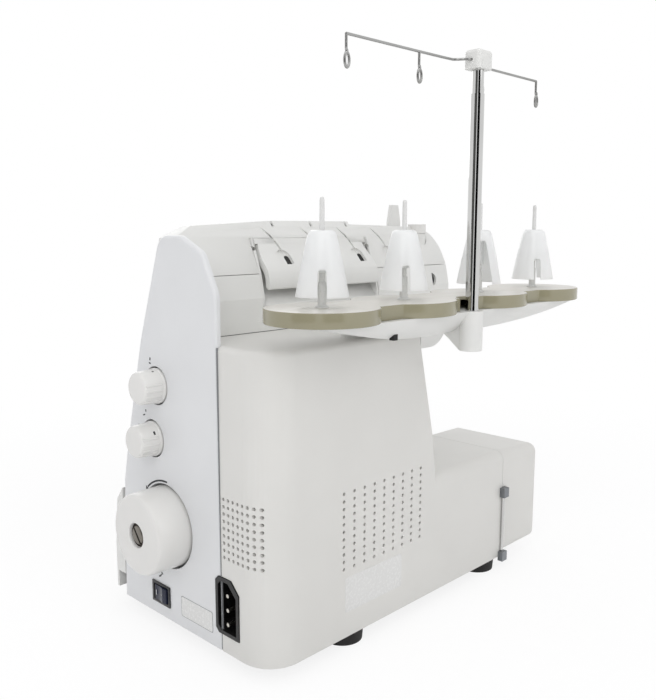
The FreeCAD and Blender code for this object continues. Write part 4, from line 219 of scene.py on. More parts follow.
def turned(
    name: str,
    centre: Vector,
    axis: Axis,
    rings: Sequence[Pair],
    sides: int = 64,
) -> bpy.types.Object:
    """Turn a solid ring by ring, as on a lathe.

    Args:
        name: the piece's name.
        centre: the point on the axis that the rings are counted from.
        axis: the axis that the solid is turned about.
        rings: distance along the axis and radius of each ring, in millimetres.
        sides: how many sides the round has.

    Returns:
        The closed solid.
    """
    along = axis.direction
    place, radius = rings[0]
    deselect()
    bpy.ops.mesh.primitive_circle_add(
        vertices=sides,
        radius=radius * MM,
        fill_type="NGON",
        location=centre + along * place * MM,
        rotation=axis.tilt,
    )
    piece = settled(name)
    with editing(piece):
        bpy.ops.mesh.select_all(action="SELECT")
        for next_place, next_radius in rings[1:]:
            step = along * (next_place - place) * MM
            bpy.ops.mesh.extrude_region_move(TRANSFORM_OT_translate={"value": step})
            ratio = next_radius / radius
            if abs(ratio - 1.0) > 1e-6:
                bpy.ops.transform.resize(
                    value=(ratio, ratio, ratio),
                    center_override=centre + along * next_place * MM,
                )
            place, radius = next_place, next_radius
    tidy_mesh(piece)
    return piece


def block(name: str, low: Vector, high: Vector) -> bpy.types.Object:
    """A block between two corners in metres.

    Args:
        name: the piece's name.
        low: its lowest corner.
        high: its highest corner.

    Returns:
        The block, to be shaped further.
    """
    deselect()
    bpy.ops.mesh.primitive_cube_add(size=1.0, location=(low + high) / 2)
    bpy.context.object.scale = high - low
    return settled(name)


def duplicate(piece: bpy.types.Object, name: str, shift: Vector) -> bpy.types.Object:
    """A copy of a piece with its own mesh, moved along.

    Args:
        piece: the piece that is copied.
        name: the copy's name.
        shift: how far the copy is moved, in metres.

    Returns:
        The copy, with its place in its mesh.
    """
    copy = bpy.data.objects.new(name, piece.data.copy())
    bpy.context.scene.collection.objects.link(copy)
    make_active(copy)
    copy.location = shift
    return settled(name)


def joined(name: str, pieces: Iterable[bpy.types.Object]) -> bpy.types.Object:
    """Join pieces into one object.

    Args:
        name: the joined piece's name.
        pieces: the pieces; the first one keeps its finish.

    Returns:
        The one object.
    """
    members = list(pieces)
    deselect()
    for member in members:
        member.select_set(True)
    bpy.context.view_layer.objects.active = members[0]
    if len(members) > 1:
        bpy.ops.object.join()
    members[0].name = name
    return members[0]


def cut_with(piece: bpy.types.Object, tool: bpy.types.Object) -> None:
    """Cut one piece with another and throw the tool away."""
    modify(piece, "BOOLEAN", object=tool, operation="DIFFERENCE", solver="EXACT")
    bpy.data.objects.remove(tool)


def close_ring(piece: bpy.types.Object, centre: Vector, within: float) -> None:
    """Take the two end discs off a turned ring and close the seam between its open edges.

    Args:
        piece: the turned ring.
        centre: a point on its axis.
        within: how near the axis, in millimetres, a disc's middle lies.
    """
    with editing(piece):
        pick_faces(
            piece, lambda place, way: abs(way.z) > 0.98 and len_from(place, centre) < within
        )
        bpy.ops.mesh.delete(type="FACE")
    with editing(piece):
        bpy.ops.mesh.select_mode(type="EDGE")
        bpy.ops.mesh.select_non_manifold()
        bpy.ops.mesh.bridge_edge_loops()


def smooth_along(piece: bpy.types.Object) -> None:
    """Smooth a ribbon along its line and keep its two side edges."""
    with editing(piece):
        pick_edges(piece, lambda place, way: abs(way.x) < 0.1)
        bpy.ops.transform.edge_crease(value=1.0)
    modify(piece, "SUBSURF", levels=2, render_levels=2)


def len_from(place: Vector, centre: Vector) -> float:
    """The distance in millimetres from a centre, seen from above."""
    return (place - centre).to_2d().length / MM


def middle(node: str) -> Vector:
    """The middle of a node's box."""
    low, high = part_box(node)
    return (Vector(low) + Vector(high)) / 2


def spot(across: float, ahead: float, above: float) -> Vector:
    """A point of the machine from three distances in millimetres.

    Args:
        across: from the end cover's outer face towards the needles.
        ahead: from the back face towards the front.
        above: from the underside of the covers.

    Returns:
        The point in metres.
    """
    return Vector((CAD_SIDE - across * MM, REAR_FACE - ahead * MM, UNDERSIDE + above * MM))


def slab(name: str, across: Pair, ahead: Pair, above: Pair) -> bpy.types.Object:
    """A block between two distances each way, in millimetres as spot takes them.

    Args:
        name: the piece's name.
        across: its two ends from the end cover's outer face.
        ahead: its two ends from the back face.
        above: its two ends from the underside.

    Returns:
        The block, to be shaped further.
    """
    one = spot(across[0], ahead[0], above[0])
    other = spot(across[1], ahead[1], above[1])
    low = Vector([min(a, b) for a, b in zip(one, other)])
    high = Vector([max(a, b) for a, b in zip(one, other)])
    return block(name, low, high)


def mould_copy(node: str, name: str) -> bpy.types.Object:
    """A copy of a frame node with its triangles merged into whole faces.

    Args:
        node: the node that is copied.
        name: the copy's name.

    Returns:
        The copy, ready to be cut and rounded.
    """
    piece = bpy.data.objects.new(name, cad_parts[node].data.copy())
    bpy.context.scene.collection.objects.link(piece)
    with editing(piece):
        bpy.ops.mesh.select_all(action="SELECT")
        bpy.ops.mesh.remove_doubles(threshold=DOUBLES)
        bpy.ops.mesh.dissolve_limited(angle_limit=math.radians(0.5))
    return piece


def ribbon(name: str, across: Pair, line: Sequence[Pair], thick: float) -> bpy.types.Object:
    """A wall that follows a line, drawn out edge by edge and then thickened forwards.

    Args:
        name: the piece's name.
        across: the wall's two ends from the end cover's outer face.
        line: the points that it follows, each its distance ahead and above, from the top down.
        thick: its thickness in millimetres.

    Returns:
        The closed wall.
    """
    first, second = (spot(sum(across) / 2, *point) for point in line[:2])
    run = second - first
    deselect()
    bpy.ops.mesh.primitive_plane_add(
        size=1.0, location=(first + second) / 2, rotation=(math.atan2(run.z, run.y), 0.0, 0.0)
    )
    bpy.context.object.scale = (abs(across[1] - across[0]) * MM, run.length, 1.0)
    piece = settled(name)
    with editing(piece):
        end = second
        for point in line[2:]:
            after = spot(sum(across) / 2, *point)
            pick_edges(piece, lambda place, way, end=end: (place - end).length < 0.01 * MM)
            bpy.ops.mesh.extrude_region_move(TRANSFORM_OT_translate={"value": after - end})
            end = after
    tidy_mesh(piece)
    with editing(piece):
        bpy.ops.mesh.select_all(action="SELECT")
        mesh = bmesh.from_edit_mesh(piece.data)
        if sum(face.normal.y for face in mesh.faces) < 0:
            bpy.ops.mesh.flip_normals()
    modify(piece, "SOLIDIFY", thickness=thick * MM, offset=-1.0)
    return piece


def round_wire(name: str, path: Sequence[Vector], radius: float) -> bpy.types.Object:
    """A round wire through points, with a rounded bend at each.

    Args:
        name: the piece's name.
        path: the points in metres.
        radius: the wire's radius in millimetres.

    Returns:
        The wire as a closed mesh.
    """
    deselect()
    bpy.ops.curve.primitive_nurbs_path_add(location=(0.0, 0.0, 0.0))
    wire = bpy.context.object
    wire.data.splines.clear()
    spline = wire.data.splines.new("NURBS")
    spline.points.add(len(path) - 1)
    for point, place in zip(spline.points, path):
        point.co = (*place, 1.0)
    spline.order_u = 3
    spline.use_endpoint_u = True
    wire.data.dimensions = "3D"
    wire.data.resolution_u = 8
    wire.data.bevel_depth = radius * MM
    wire.data.bevel_resolution = 4
    wire.data.use_fill_caps = True
    bpy.ops.object.convert(target="MESH")
    piece = settled(name)
    tidy_mesh(piece)
    return piece


# ---------------------------------------------------------------- finishes


def linear(hex_colour: str) -> tuple[float, float, float, float]:
    """Turn an sRGB hex colour such as #f0f0ee into linear RGBA."""
    parts = [int(hex_colour[i : i + 2], 16) / 255 for i in (1, 3, 5)]
    values = [p / 12.92 if p <= 0.04045 else ((p + 0.055) / 1.055) ** 2.4 for p in parts]
    return (values[0], values[1], values[2], 1.0)


def add_node(
    tree: bpy.types.NodeTree,
    kind: str,
    inputs: dict[str | int, object] | None = None,
    **settings: object,
) -> bpy.types.Node:
    """Add a shader node with its settings, values and links.

    Args:
        tree: the node tree.
        kind: the node's type.
        inputs: socket name or number to a value or to an output socket.
        **settings: the node's own settings.

    Returns:
        The node.
    """
    node = tree.nodes.new(kind)
    for key, value in settings.items():
        setattr(node, key, value)
    for key, value in (inputs or {}).items():
        if isinstance(value, bpy.types.NodeSocket):
            tree.links.new(value, node.inputs[key])
        else:
            node.inputs[key].default_value = value
    return node


@dataclass(frozen=True)
class Finish:
    """A real material: its colour, its gloss and the texture that its making leaves.

    The grain is a fine bump, and the mottle is a slow change of colour over the surface.
    """

    name: str
    colour: str
    roughness: float = 0.4
    metallic: float = 0.0
    ior: float = 1.5
    shade: str = ""
    grain_mm: float = 0.8
    grain_depth_mm: float = 0.01
    grain_stretch: Triple = (1.0, 1.0, 1.0)
    mottle_mm: float = 60.0
    roughness_spread: float = 0.05
    transmission: float = 0.0
    subsurface: float = 0.0

    def material(self) -> bpy.types.Material:
        """The finish as a material, made once and then used again."""
        made = bpy.data.materials.get(self.name)
        if made:
            return made
        made = bpy.data.materials.new(self.name)
        made.use_nodes = True
        tree = made.node_tree
        tree.nodes.clear()
        output = add_node(tree, "ShaderNodeOutputMaterial")
        place = add_node(tree, "ShaderNodeTexCoord").outputs["Object"]
        mottle = add_node(
            tree,
            "ShaderNodeTexNoise",
            {"Vector": place, "Scale": 1000.0 / self.mottle_mm, "Detail": 3.0, "Roughness": 0.5},
        ).outputs["Fac"]
        colours = self._colours(tree, mottle)
        spots = add_node(
            tree, "ShaderNodeMapping", {"Vector": place, "Scale": self.grain_stretch}
        ).outputs["Vector"]
        grain = add_node(
            tree,
            "ShaderNodeTexNoise",
            {"Vector": spots, "Scale": 1000.0 / self.grain_mm, "Detail": 2.0, "Roughness": 0.6},
        ).outputs["Fac"]
        bump = add_node(
            tree,
            "ShaderNodeBump",
            {"Height": grain, "Strength": 0.5, "Distance": self.grain_depth_mm * MM},
        ).outputs["Normal"]
        gloss = add_node(
            tree,
            "ShaderNodeMapRange",
            {
                "Value": grain,
                "From Min": 0.3,
                "From Max": 0.7,
                "To Min": max(0.02, self.roughness - self.roughness_spread),
                "To Max": min(1.0, self.roughness + self.roughness_spread),
            },
        ).outputs["Result"]
        shader = add_node(
            tree,
            "ShaderNodeBsdfPrincipled",
            {
                "Base Color": colours,
                "Metallic": self.metallic,
                "Roughness": gloss,
                "IOR": self.ior,
                "Normal": bump,
                "Transmission Weight": self.transmission,
                "Subsurface Weight": self.subsurface,
                "Subsurface Radius": (1.0, 1.0, 1.0),
                "Subsurface Scale": 0.004,
            },
        )
        tree.links.new(shader.outputs["BSDF"], output.inputs["Surface"])
        return made

    def _colours(
        self, tree: bpy.types.NodeTree, mottle: bpy.types.NodeSocket
    ) -> bpy.types.NodeSocket:
        """The slow change between the finish's two colours.

        Args:
            tree: the material's node tree.
            mottle: the noise that chooses between them.

        Returns:
            The colour socket.
        """
        ramp = add_node(tree, "ShaderNodeValToRGB", {"Fac": mottle})
        ramp.color_ramp.elements[0].position = 0.35
        ramp.color_ramp.elements[0].color = linear(self.shade or self.colour)
        ramp.color_ramp.elements[1].position = 0.65
        ramp.color_ramp.elements[1].color = linear(self.colour)
        return ramp.outputs["Color"]


# Injection-moulded ABS of the end cover: smooth, a little glossy, with a faint spark-eroded grain.
SIDE_ABS = Finish("moulded_abs_side", "#e3e4e5", 0.36, shade="#e0e1e2", grain_mm=0.9,
                  grain_depth_mm=0.004)
# The same ABS on the rear moulding, a touch greyer and more matt from its coarser grain.
REAR_ABS = Finish("moulded_abs_rear", "#e0dfdb", 0.42, shade="#dddcd8", grain_mm=0.8,
                  grain_depth_mm=0.006)
# The arm's covers: ABS with a soft satin.
ARM_ABS = Finish("moulded_abs_arm", "#e5e5e2", 0.38, shade="#e2e2df", grain_mm=0.9,
                 grain_depth_mm=0.004)
# Polished ABS of the knobs and handwheel: whiter and glossier than the covers.
KNOB_ABS = Finish("polished_abs_knob", "#e6e5e2", 0.24, shade="#e2e1de", grain_mm=1.4,
                  grain_depth_mm=0.0015, roughness_spread=0.02)
# Polished polystyrene rim of the tray, mirroring the room; its dark olive colour is painted shade.
TRAY_RIM_SHADED = Finish("styrene_rim_painted_shade", "#98937a", 0.17, shade="#928d74", grain_mm=0.7,
                  grain_depth_mm=0.001, roughness_spread=0.02, ior=1.59)
# The same tray's top in the plastic's own paler colour, more even from its fine spark-eroded
# texture.
TRAY_TOP = Finish("textured_styrene_top", "#d2cfc8", 0.34, shade="#cdcac2", grain_mm=0.7,
                  grain_depth_mm=0.002, ior=1.59)
# Painted shadow in the parting of two covers: a flat grey, soft and without gloss.
SEAM_SHADOW_GREY = Finish("seam_painted_shadow", "#8a8c8e", 0.9, shade="#7d7f81", grain_mm=0.4,
                   grain_depth_mm=0.02)
# Milky polypropylene of the spool bells: light passes a little way into it.
BELL_PP = Finish("milky_polypropylene", "#f4f6f5", 0.34, shade="#f0f2f1", grain_mm=1.5,
                 grain_depth_mm=0.001, subsurface=0.9, ior=1.49)
# White acetal of the spool pins, smooth and slightly waxy.
PIN_ACETAL = Finish("white_acetal", "#dfdfdd", 0.3, shade="#dadad8", grain_mm=1.2,
                    grain_depth_mm=0.004)
# Chrome plate on the pole and the hinge rod: near mirror, with faint draw lines along it.
CHROME = Finish("chrome_plate", "#cfcfce", 0.07, metallic=1.0, shade="#c6c6c5", grain_mm=0.5,
                grain_depth_mm=0.001, grain_stretch=(1.0, 1.0, 0.05), roughness_spread=0.02)
# Nickel-plated spring wire of the thread guide.
NICKEL_WIRE = Finish("nickel_plated_wire", "#a9a9a8", 0.22, metallic=1.0, shade="#989896",
                     grain_mm=0.5, grain_depth_mm=0.003)
# Ground and polished steel of the plates, bars and blades, with fine grinding lines.
GROUND_STEEL = Finish("ground_steel", "#b7b8ba", 0.26, metallic=1.0, shade="#adaeb0", grain_mm=0.4,
                      grain_depth_mm=0.006, grain_stretch=(0.1, 1.0, 1.0), roughness_spread=0.08)
# Zinc-plated steel of brackets and screws: duller, slightly blue.
ZINC_STEEL = Finish("zinc_plated_steel", "#8d9094", 0.38, metallic=1.0, shade="#7f8286",
                    grain_mm=0.9)
# Plain turned steel of the handwheel's screw, dulled by handling.
SCREW_STEEL = Finish("handled_steel", "#8b8780", 0.34, metallic=1.0, shade="#7b766f", grain_mm=0.5)
# Painted shade of the dark recess round that screw: a ring almost black with a brown cast.
RECESS_SHADE_BROWN = Finish("recess_painted_shade", "#33291f", 0.4, metallic=1.0, shade="#261e17", grain_mm=0.6)
# Sand-cast aluminium of the frame: coarse, pale and matt.
CAST_ALUMINIUM = Finish("sand_cast_aluminium", "#a5a7a8", 0.55, metallic=1.0, shade="#939596",
                        grain_mm=1.2, grain_depth_mm=0.06, roughness_spread=0.1)
# Powder-coated sheet of the base and the motor can, with its orange-peel skin.
GREY_POWDER = Finish("grey_powder_coat", "#8f9192", 0.5, shade="#868889", grain_mm=1.6,
                     grain_depth_mm=0.03)
BLACK_POWDER = Finish("black_powder_coat", "#232324", 0.45, shade="#1c1c1d", grain_mm=1.6,
                      grain_depth_mm=0.03)
# Natural rubber of the feet and the belt: deep black and dry, with a dusty bloom.
# The same black also serves as painted shade in the handle's notches and in the hole under the
# carrier.
FOOT_RUBBER = Finish("moulded_rubber", "#1b1b1b", 0.72, shade="#262524", grain_mm=0.9,
                     grain_depth_mm=0.03)
# Glossy black polycarbonate round the switch, and its navy rocker.
SWITCH_BLACK = Finish("gloss_polycarbonate_black", "#0c0c0e", 0.2, shade="#101012", grain_mm=1.5,
                      grain_depth_mm=0.003)
ROCKER_NAVY = Finish("gloss_polycarbonate_navy", "#121a33", 0.22, shade="#0e1429", grain_mm=1.5,
                     grain_depth_mm=0.003)
# Nylon of the inlet: black and slightly matt.
INLET_NYLON = Finish("black_nylon", "#131313", 0.42, shade="#1b1b1b", grain_mm=0.7)
# Tin-plated brass of the inlet's pins: pale grey, with a little of the brass showing.
PIN_TINNED = Finish("tinned_brass", "#c8c5bd", 0.3, metallic=1.0, shade="#b7b2a4", grain_mm=0.3)
# Screen-printed ink: flat and dead matt.
BLACK_INK = Finish("black_screen_ink", "#1e1f21", 0.6, shade="#26272a", grain_mm=0.3)
GREY_INK = Finish("grey_screen_ink", "#8f9193", 0.6, shade="#999b9d", grain_mm=0.3)
WHITE_INK = Finish("white_screen_ink", "#e8e8e8", 0.6, shade="#dedede", grain_mm=0.3)
# Blank foil label: a thin white polyester, smoother than the moulding under it.
LABEL_FOIL = Finish("polyester_label", "#e4e4e2", 0.26, shade="#e0e0de", grain_mm=2.0,
                    grain_depth_mm=0.002)
# Clear acrylic of the lamp's lens.
LAMP_ACRYLIC = Finish("clear_acrylic", "#f4f2e6", 0.15, shade="#efecdd", transmission=0.8,
                      ior=1.49)


def dress(piece: bpy.types.Object, finish: Finish) -> None:
    """Give a piece one finish all over."""
    piece.data.materials.clear()
    piece.data.materials.append(finish.material())


def dress_node(node: str, finish: Finish) -> None:
    """Give a frame node a better finish in its own slots."""
    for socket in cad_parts[node].material_slots:
        socket.material = finish.material()


def place_piece(
    piece: bpy.types.Object, body: str, slot: str, finish: Finish, *nodes: str
) -> None:
    """Dress a finished piece, make it ride on its body and hide the frame nodes that it replaces.

    Args:
        piece: the finished piece.
        body: the body that it moves with.
        slot: the record's material slot; not used.
        finish: its finish.
        *nodes: frame nodes that it replaces.
    """
    dress(piece, finish)
    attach(piece, body)
    if nodes:
        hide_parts(*nodes)
    LOG.info("%s rides on %s", piece.name, body)


# ---------------------------------------------------------------- sub-assemblies


@dataclass
class SoftenedPart:
    """A frame node rebuilt with rounded edges, as a mould gives them."""

    node: str
    body: str
    slot: str
    finish: Finish
    edge: float = 0.5
    angle: float = 30.0
    segments: int = 3

    def build(self) -> bpy.types.Object:
        """Copy the node, merge its triangles, round its edges and dress it."""
        piece = mould_copy(self.node, f"{self.node}_moulding")
        round_edges(piece, self.edge, self.angle, self.segments)
        make_smooth(piece, 35.0)
        place_piece(piece, self.body, self.slot, self.finish, self.node)
        return piece


@dataclass
class ArmTop:
    """The arm's top cover, the recess under it and the folding handle that closes the recess.

    Four thread grooves run from rimmed notches up over the cover's brow, bending towards the
    handwheel. Three of the notches lie in the handle and the last one in the cover. A slope is
    given by how far ahead it lies at a height and how far it runs ahead for each millimetre up.
    """

    grooves: tuple[float, ...] = (97.0, 137.0, 177.0, 217.0)
    groove_radius: float = 0.9
    groove_depth: float = 1.2
    groove_foot: Triple = (0.4, 87.6, 257.4)
    groove_steps: tuple[Pair, ...] = (
        (1.0, 259.0), (2.2, 262.5), (4.0, 266.5), (6.8, 270.5), (10.4, 274.5), (13.4, 277.4)
    )
    groove_lift: float = 0.2
    sink_ahead: float = 0.8
    sink_down: float = 0.5
    run_out: Triple = (0.0, 1.2, 1.4)
    rim_wide: float = 12.6
    rim_tall: float = 13.5
    rim_depth: float = 1.6
    rim_place: Pair = (2.0, 256.2)
    hole_wide: float = 5.0
    hole_deep: float = 13.0
    hole_tall: float = 9.0
    hole_place: Pair = (-1.4, 254.6)
    # The black lozenge in each notch's slot is painted shade: how much smaller than the hole, how
    # thick and how deep it sits.
    shade_plug_slack: float = 0.2
    shade_plug_thick: float = 2.0
    shade_plug_sunk: float = 2.9
    wall: float = 2.2
    reach: Pair = (70.6, 191.4)
    well_ends: Pair = (71.0, 191.0)
    well_above: Pair = (200.0, 300.0)
    back_ahead: Pair = (60.0, 120.0)
    trim_across: Pair = (60.0, 200.0)
    trim_top: float = 290.0
    brow: Pair = (272.6, 269.0)
    brow_tuck: float = 0.3
    handle_sides: Pair = (72.2, 189.8)
    handle_thick: float = 4.6
    handle_top: float = 266.0
    handle_tuck: float = 268.4
    handle_proud: float = 0.1
    slit: float = 3.0
    slit_foot: float = 254.0
    gap: float = 0.05
    edge: float = 1.2
    top_edge: float = 0.3
    lozenge_crown: float = 0.46
    lozenge_foot: float = 0.12
    knee: float = 272.0
    lower_slope: Triple = (83.7, 245.0, 0.46)
    upper_slope: Triple = (96.1, 272.0, 0.755)
    flap_slope: Triple = (86.5, 256.2, 0.86)
    flap_line: tuple[Pair, ...] = (
        (91.4, 262.4), (88.6, 258.6), (85.2, 254.6), (81.6, 250.6), (78.8, 246.4), (77.4, 242.0),
        (77.0, 238.0), (77.3, 234.6), (78.6, 233.0)
    )
    hollow_line: tuple[Pair, ...] = (
        (94.2, 267.6), (97.6, 266.2), (98.0, 259.0), (98.0, 250.0), (96.4, 243.0), (92.4, 237.0),
        (88.4, 231.6), (85.0, 227.2), (82.2, 224.2), (80.3, 222.4)
    )

    def build(self) -> None:
        """Model the cover, the recess and the handle, cut the grooves and dress all three."""
        top = mould_copy("top_cover", "top_cover_moulding")
        high, low = self.brow
        foot = self.handle_top + self.gap
        lintel = ribbon(
            "recess_lintel",
            self.reach,
            [
                (self.surface(high) + self.brow_tuck, high),
                (self.surface(low), low),
                (self.surface(foot), foot),
            ],
            self.wall,
        )
        handle = self.handle()
        for number, across in enumerate(self.grooves):
            in_handle = across < self.handle_sides[1]
            for sink in (0.0, self.groove_depth):
                for piece in (top, lintel, handle) if in_handle else (top,):
                    cut_with(piece, self.groove_tool(f"groove_tool_{number}", across, sink))
            self.notch(handle if in_handle else top, across)
        ends = mould_copy("handle_well", "handle_well_ends")
        cut_with(ends, slab("well_cutter", self.well_ends, self.back_ahead, self.well_above))
        round_edges(top, self.top_edge, 40.0, 2)
        make_smooth(top, 35.0)
        place_piece(top, "chassis", "casing_white", ARM_ABS, "top_cover")
        whole = joined("handle_well_moulding", [self.hollow(), lintel, ends])
        make_smooth(whole, 50.0)
        place_piece(whole, "chassis", "casing_white", ARM_ABS, "handle_well")
        make_smooth(handle, 50.0)
        place_piece(handle, "handle", "casing_white", ARM_ABS, "carry_handle")

    def hollow(self) -> bpy.types.Object:
        """The smooth wall of the recess behind the handle, ending in the scoop under it."""
        piece = ribbon("recess_hollow", self.reach, self.hollow_line, self.wall)
        smooth_along(piece)
        return piece

    def handle(self) -> bpy.types.Object:
        """The handle: a bowed flap, narrower at its hinge, whose thick lower lip is the grip."""
        line = [
            (self.surface(self.handle_tuck), self.handle_tuck),
            (self.surface(self.handle_top) - self.handle_proud, self.handle_top),
            *self.flap_line,
        ]
        piece = ribbon("carry_handle_flap", self.handle_sides, line, self.handle_thick)
        smooth_along(piece)
        top = spot(0.0, 0.0, self.handle_top).z
        foot = spot(0.0, 0.0, self.slit_foot).z
        for side, way_in in ((self.handle_sides[0], -1.0), (self.handle_sides[1], 1.0)):
            outer = spot(side, 0.0, 0.0).x
            with editing(piece):
                bpy.ops.mesh.select_mode(type="VERT")
                mesh = bmesh.from_edit_mesh(piece.data)
                for vertex in mesh.verts:
                    if abs(vertex.co.x - outer) < 0.5 * MM and vertex.co.z > foot:
                        share = min(1.0, (vertex.co.z - foot) / (top - foot))
                        vertex.co.x += way_in * self.slit * share * MM
                bmesh.update_edit_mesh(piece.data)
        round_edges(piece, self.edge, 50.0, 3)
        over = (self.handle_top, self.trim_top)
        cut_with(piece, slab("handle_trim", self.trim_across, self.back_ahead, over))
        return piece

    def surface(self, above: float) -> float:
        """How far ahead the arm's sloping back lies at a height.

        Args:
            above: the height above the underside.

        Returns:
            The distance ahead of the back face, in millimetres.
        """
        start, level, run = self.lower_slope if above <= self.knee else self.upper_slope
        return start + (above - level) * run

    def groove_tool(self, name: str, across: float, sink: float) -> bpy.types.Object:
        """The bent wire that cuts one groove.

        Args:
            name: the tool's name.
            across: the groove's notch, from the end cover.
            sink: how deep the wire lies under the surface.

        Returns:
            The tool, as a mesh.
        """
        back, ahead, above = self.groove_foot
        inwards, down = sink * self.sink_ahead, sink * self.sink_down
        path = [spot(across - back, ahead + inwards, above - down)]
        path += [
            spot(across - back, self.surface(above) - self.groove_lift + inwards, above - down)
            for back, above in self.groove_steps
        ]
        path[-1] = path[-1] + Vector(self.run_out) * MM
        return round_wire(name, path, self.groove_radius)

    def notch(self, piece: bpy.types.Object, across: float) -> None:
        """Sink the rimmed notch at a groove's lower end, with its slot and a black lozenge of
        painted shade sunk in the slot.

        Args:
            piece: the piece that is cut.
            across: the notch's place, from the end cover.
        """
        in_handle = across < self.handle_sides[1]
        start, level, run = self.flap_slope if in_handle else self.lower_slope
        lean = math.atan(run)
        rim = self.lozenge("notch_rim", self.rim_wide, self.rim_depth * 2, self.rim_tall)
        hole = self.lozenge("notch_hole", self.hole_wide, self.hole_deep, self.hole_tall)
        for tool, (aside, height) in ((rim, self.rim_place), (hole, self.hole_place)):
            tool.rotation_euler = (lean, 0.0, 0.0)
            tool.location = spot(across - aside, start + (height - level) * run, height)
            make_active(tool)
            cut_with(piece, settled(tool.name))
        # A black lozenge of painted shade sunk in the slot, standing in for the dark of the hole.
        shade_plug = self.lozenge(
            f"notch_shade_plug_{round(across)}",
            self.hole_wide - self.shade_plug_slack,
            self.shade_plug_thick,
            self.hole_tall - self.shade_plug_slack,
        )
        aside, height = self.hole_place
        shade_plug.rotation_euler = (lean, 0.0, 0.0)
        shade_plug.location = spot(
            across - aside,
            start + (height - level) * run + self.shade_plug_sunk * math.cos(lean),
            height - self.shade_plug_sunk * math.sin(lean),
        )
        make_active(shade_plug)
        shade_plug = settled(shade_plug.name)
        place_piece(shade_plug, "handle" if in_handle else "chassis", "foot_black", FOOT_RUBBER)

    def lozenge(self, name: str, wide: float, deep: float, tall: float) -> bpy.types.Object:
        """A block with a round top and softened foot, standing on the origin's middle.

        Args:
            name: the piece's name.
            wide: its width.
            deep: its depth.
            tall: its height.

        Returns:
            The block.
        """
        half = Vector((wide, deep, tall)) * MM / 2
        piece = block(name, -half, half)
        with editing(piece):
            pick_edges(piece, lambda place, way: abs(way.y) > 0.9 and place.z > 0)
            bpy.ops.mesh.bevel(offset=wide * self.lozenge_crown * MM, segments=8)
        with editing(piece):
            pick_edges(piece, lambda place, way: abs(way.y) > 0.9 and place.z < -half.z * 0.99)
            bpy.ops.mesh.bevel(offset=wide * self.lozenge_foot * MM, segments=3)
        return piece


@dataclass
class KnobCollar:
    """The moulded collar that closes the top cover round the pressure knob's stem."""

    radius: float = 8.0
    bore: float = 3.3
    foot: float = 247.0
    top: float = 272.4
    corner: float = 0.6
    seat_reach: Pair = (256.5, 281.0)
    seat_heights: Triple = (278.0, 272.0, 255.0)
    seat_sunk: float = 2.6
    seat_thick: float = 1.0
    seat_bore: float = 7.9
    bore_foot: float = 235.0
    bore_long: float = 60.0

    def build(self) -> None:
        """Turn the collar and set the seat that closes the cover round the knob."""
        knob = middle("pressure_knob")
        slope = ArmTop().surface
        seat = ribbon(
            "knob_seat",
            self.seat_reach,
            [(slope(above) + self.seat_sunk, above) for above in self.seat_heights],
            self.seat_thick,
        )
        bore = turned(
            "knob_seat_bore",
            Vector((knob.x, knob.y, spot(0.0, 0.0, self.bore_foot).z)),
            Axis.Z,
            [(0.0, self.seat_bore), (self.bore_long, self.seat_bore)],
            48,
        )
        cut_with(seat, bore)
        place_piece(seat, "chassis", "casing_white", ARM_ABS)
        tall = self.top - self.foot
        collar = turned(
            "knob_collar",
            Vector((knob.x, knob.y, spot(0.0, 0.0, self.foot).z)),
            Axis.Z,
            [
                (0.0, self.bore),
                (0.0, self.radius),
                (tall - self.corner, self.radius),
                (tall, self.radius - self.corner),
                (tall, self.bore),
            ],
            48,
        )
        close_ring(collar, knob, 1.0)
        tidy_mesh(collar)
        make_smooth(collar)
        place_piece(collar, "chassis", "casing_white", ARM_ABS)


@dataclass
class SpoolTray:
    """The lobed tray: a polished rim whose darker olive colour is painted shade, round a paler,
    finely textured top.
    """

    edge: float = 1.1

    def build(self) -> None:
        """Round the tray's edges and give its top the textured finish."""
        tray = SoftenedPart("spool_tray", "chassis", "tray_grey", TRAY_RIM_SHADED, self.edge).build()
        tray.data.materials.append(TRAY_TOP.material())
        # The sides keep the rim's colour, which is painted shade; only the faces that look up get
        # the top's colour.
        with editing(tray):
            pick_faces(tray, lambda place, way: way.z > 0.97)
            tray.active_material_index = 1
            bpy.ops.object.material_slot_assign()


@dataclass
class PartingShades:
    """A thin grey strip of painted shadow in the parting between the end cover and the rear cover.
    """

    parting: float = 47.0
    wide: float = 0.7
    proud: float = 0.04
    deep: float = 1.2
    heights: Pair = (1.0, 203.0)
    # The black square of painted shade in the hole under the carrier: its side, its place and its
    # heights.
    shade_square: float = 3.7
    shade_square_place: Pair = (74.0, -35.4)
    shade_square_heights: Pair = (208.6, 213.0)

    def build(self) -> None:
        """Lay the painted shadow strip in the parting, and fill the hole under the spool stand's
        carrier with a black square of painted shade.
        """
        back_edge = (self.parting - self.wide, self.parting)
        # A grey strip of painted shadow standing in for the dark of the parting gap.
        shadow_strip = slab("parting_painted_shadow", (-self.proud, self.deep), back_edge, self.heights)
        round_edges(shadow_strip, self.proud / 2, 30.0, 1)
        place_piece(shadow_strip, "chassis", "inlet_black", SEAM_SHADOW_GREY)
        # A black square of painted shade that fills the dark hole under the spool stand's carrier.
        across, ahead = ((mid - self.shade_square / 2, mid + self.shade_square / 2) for mid in self.shade_square_place)
        shade_square = slab("carrier_hole_shade", across, ahead, self.shade_square_heights)
        place_piece(shade_square, "chassis", "foot_black", FOOT_RUBBER)


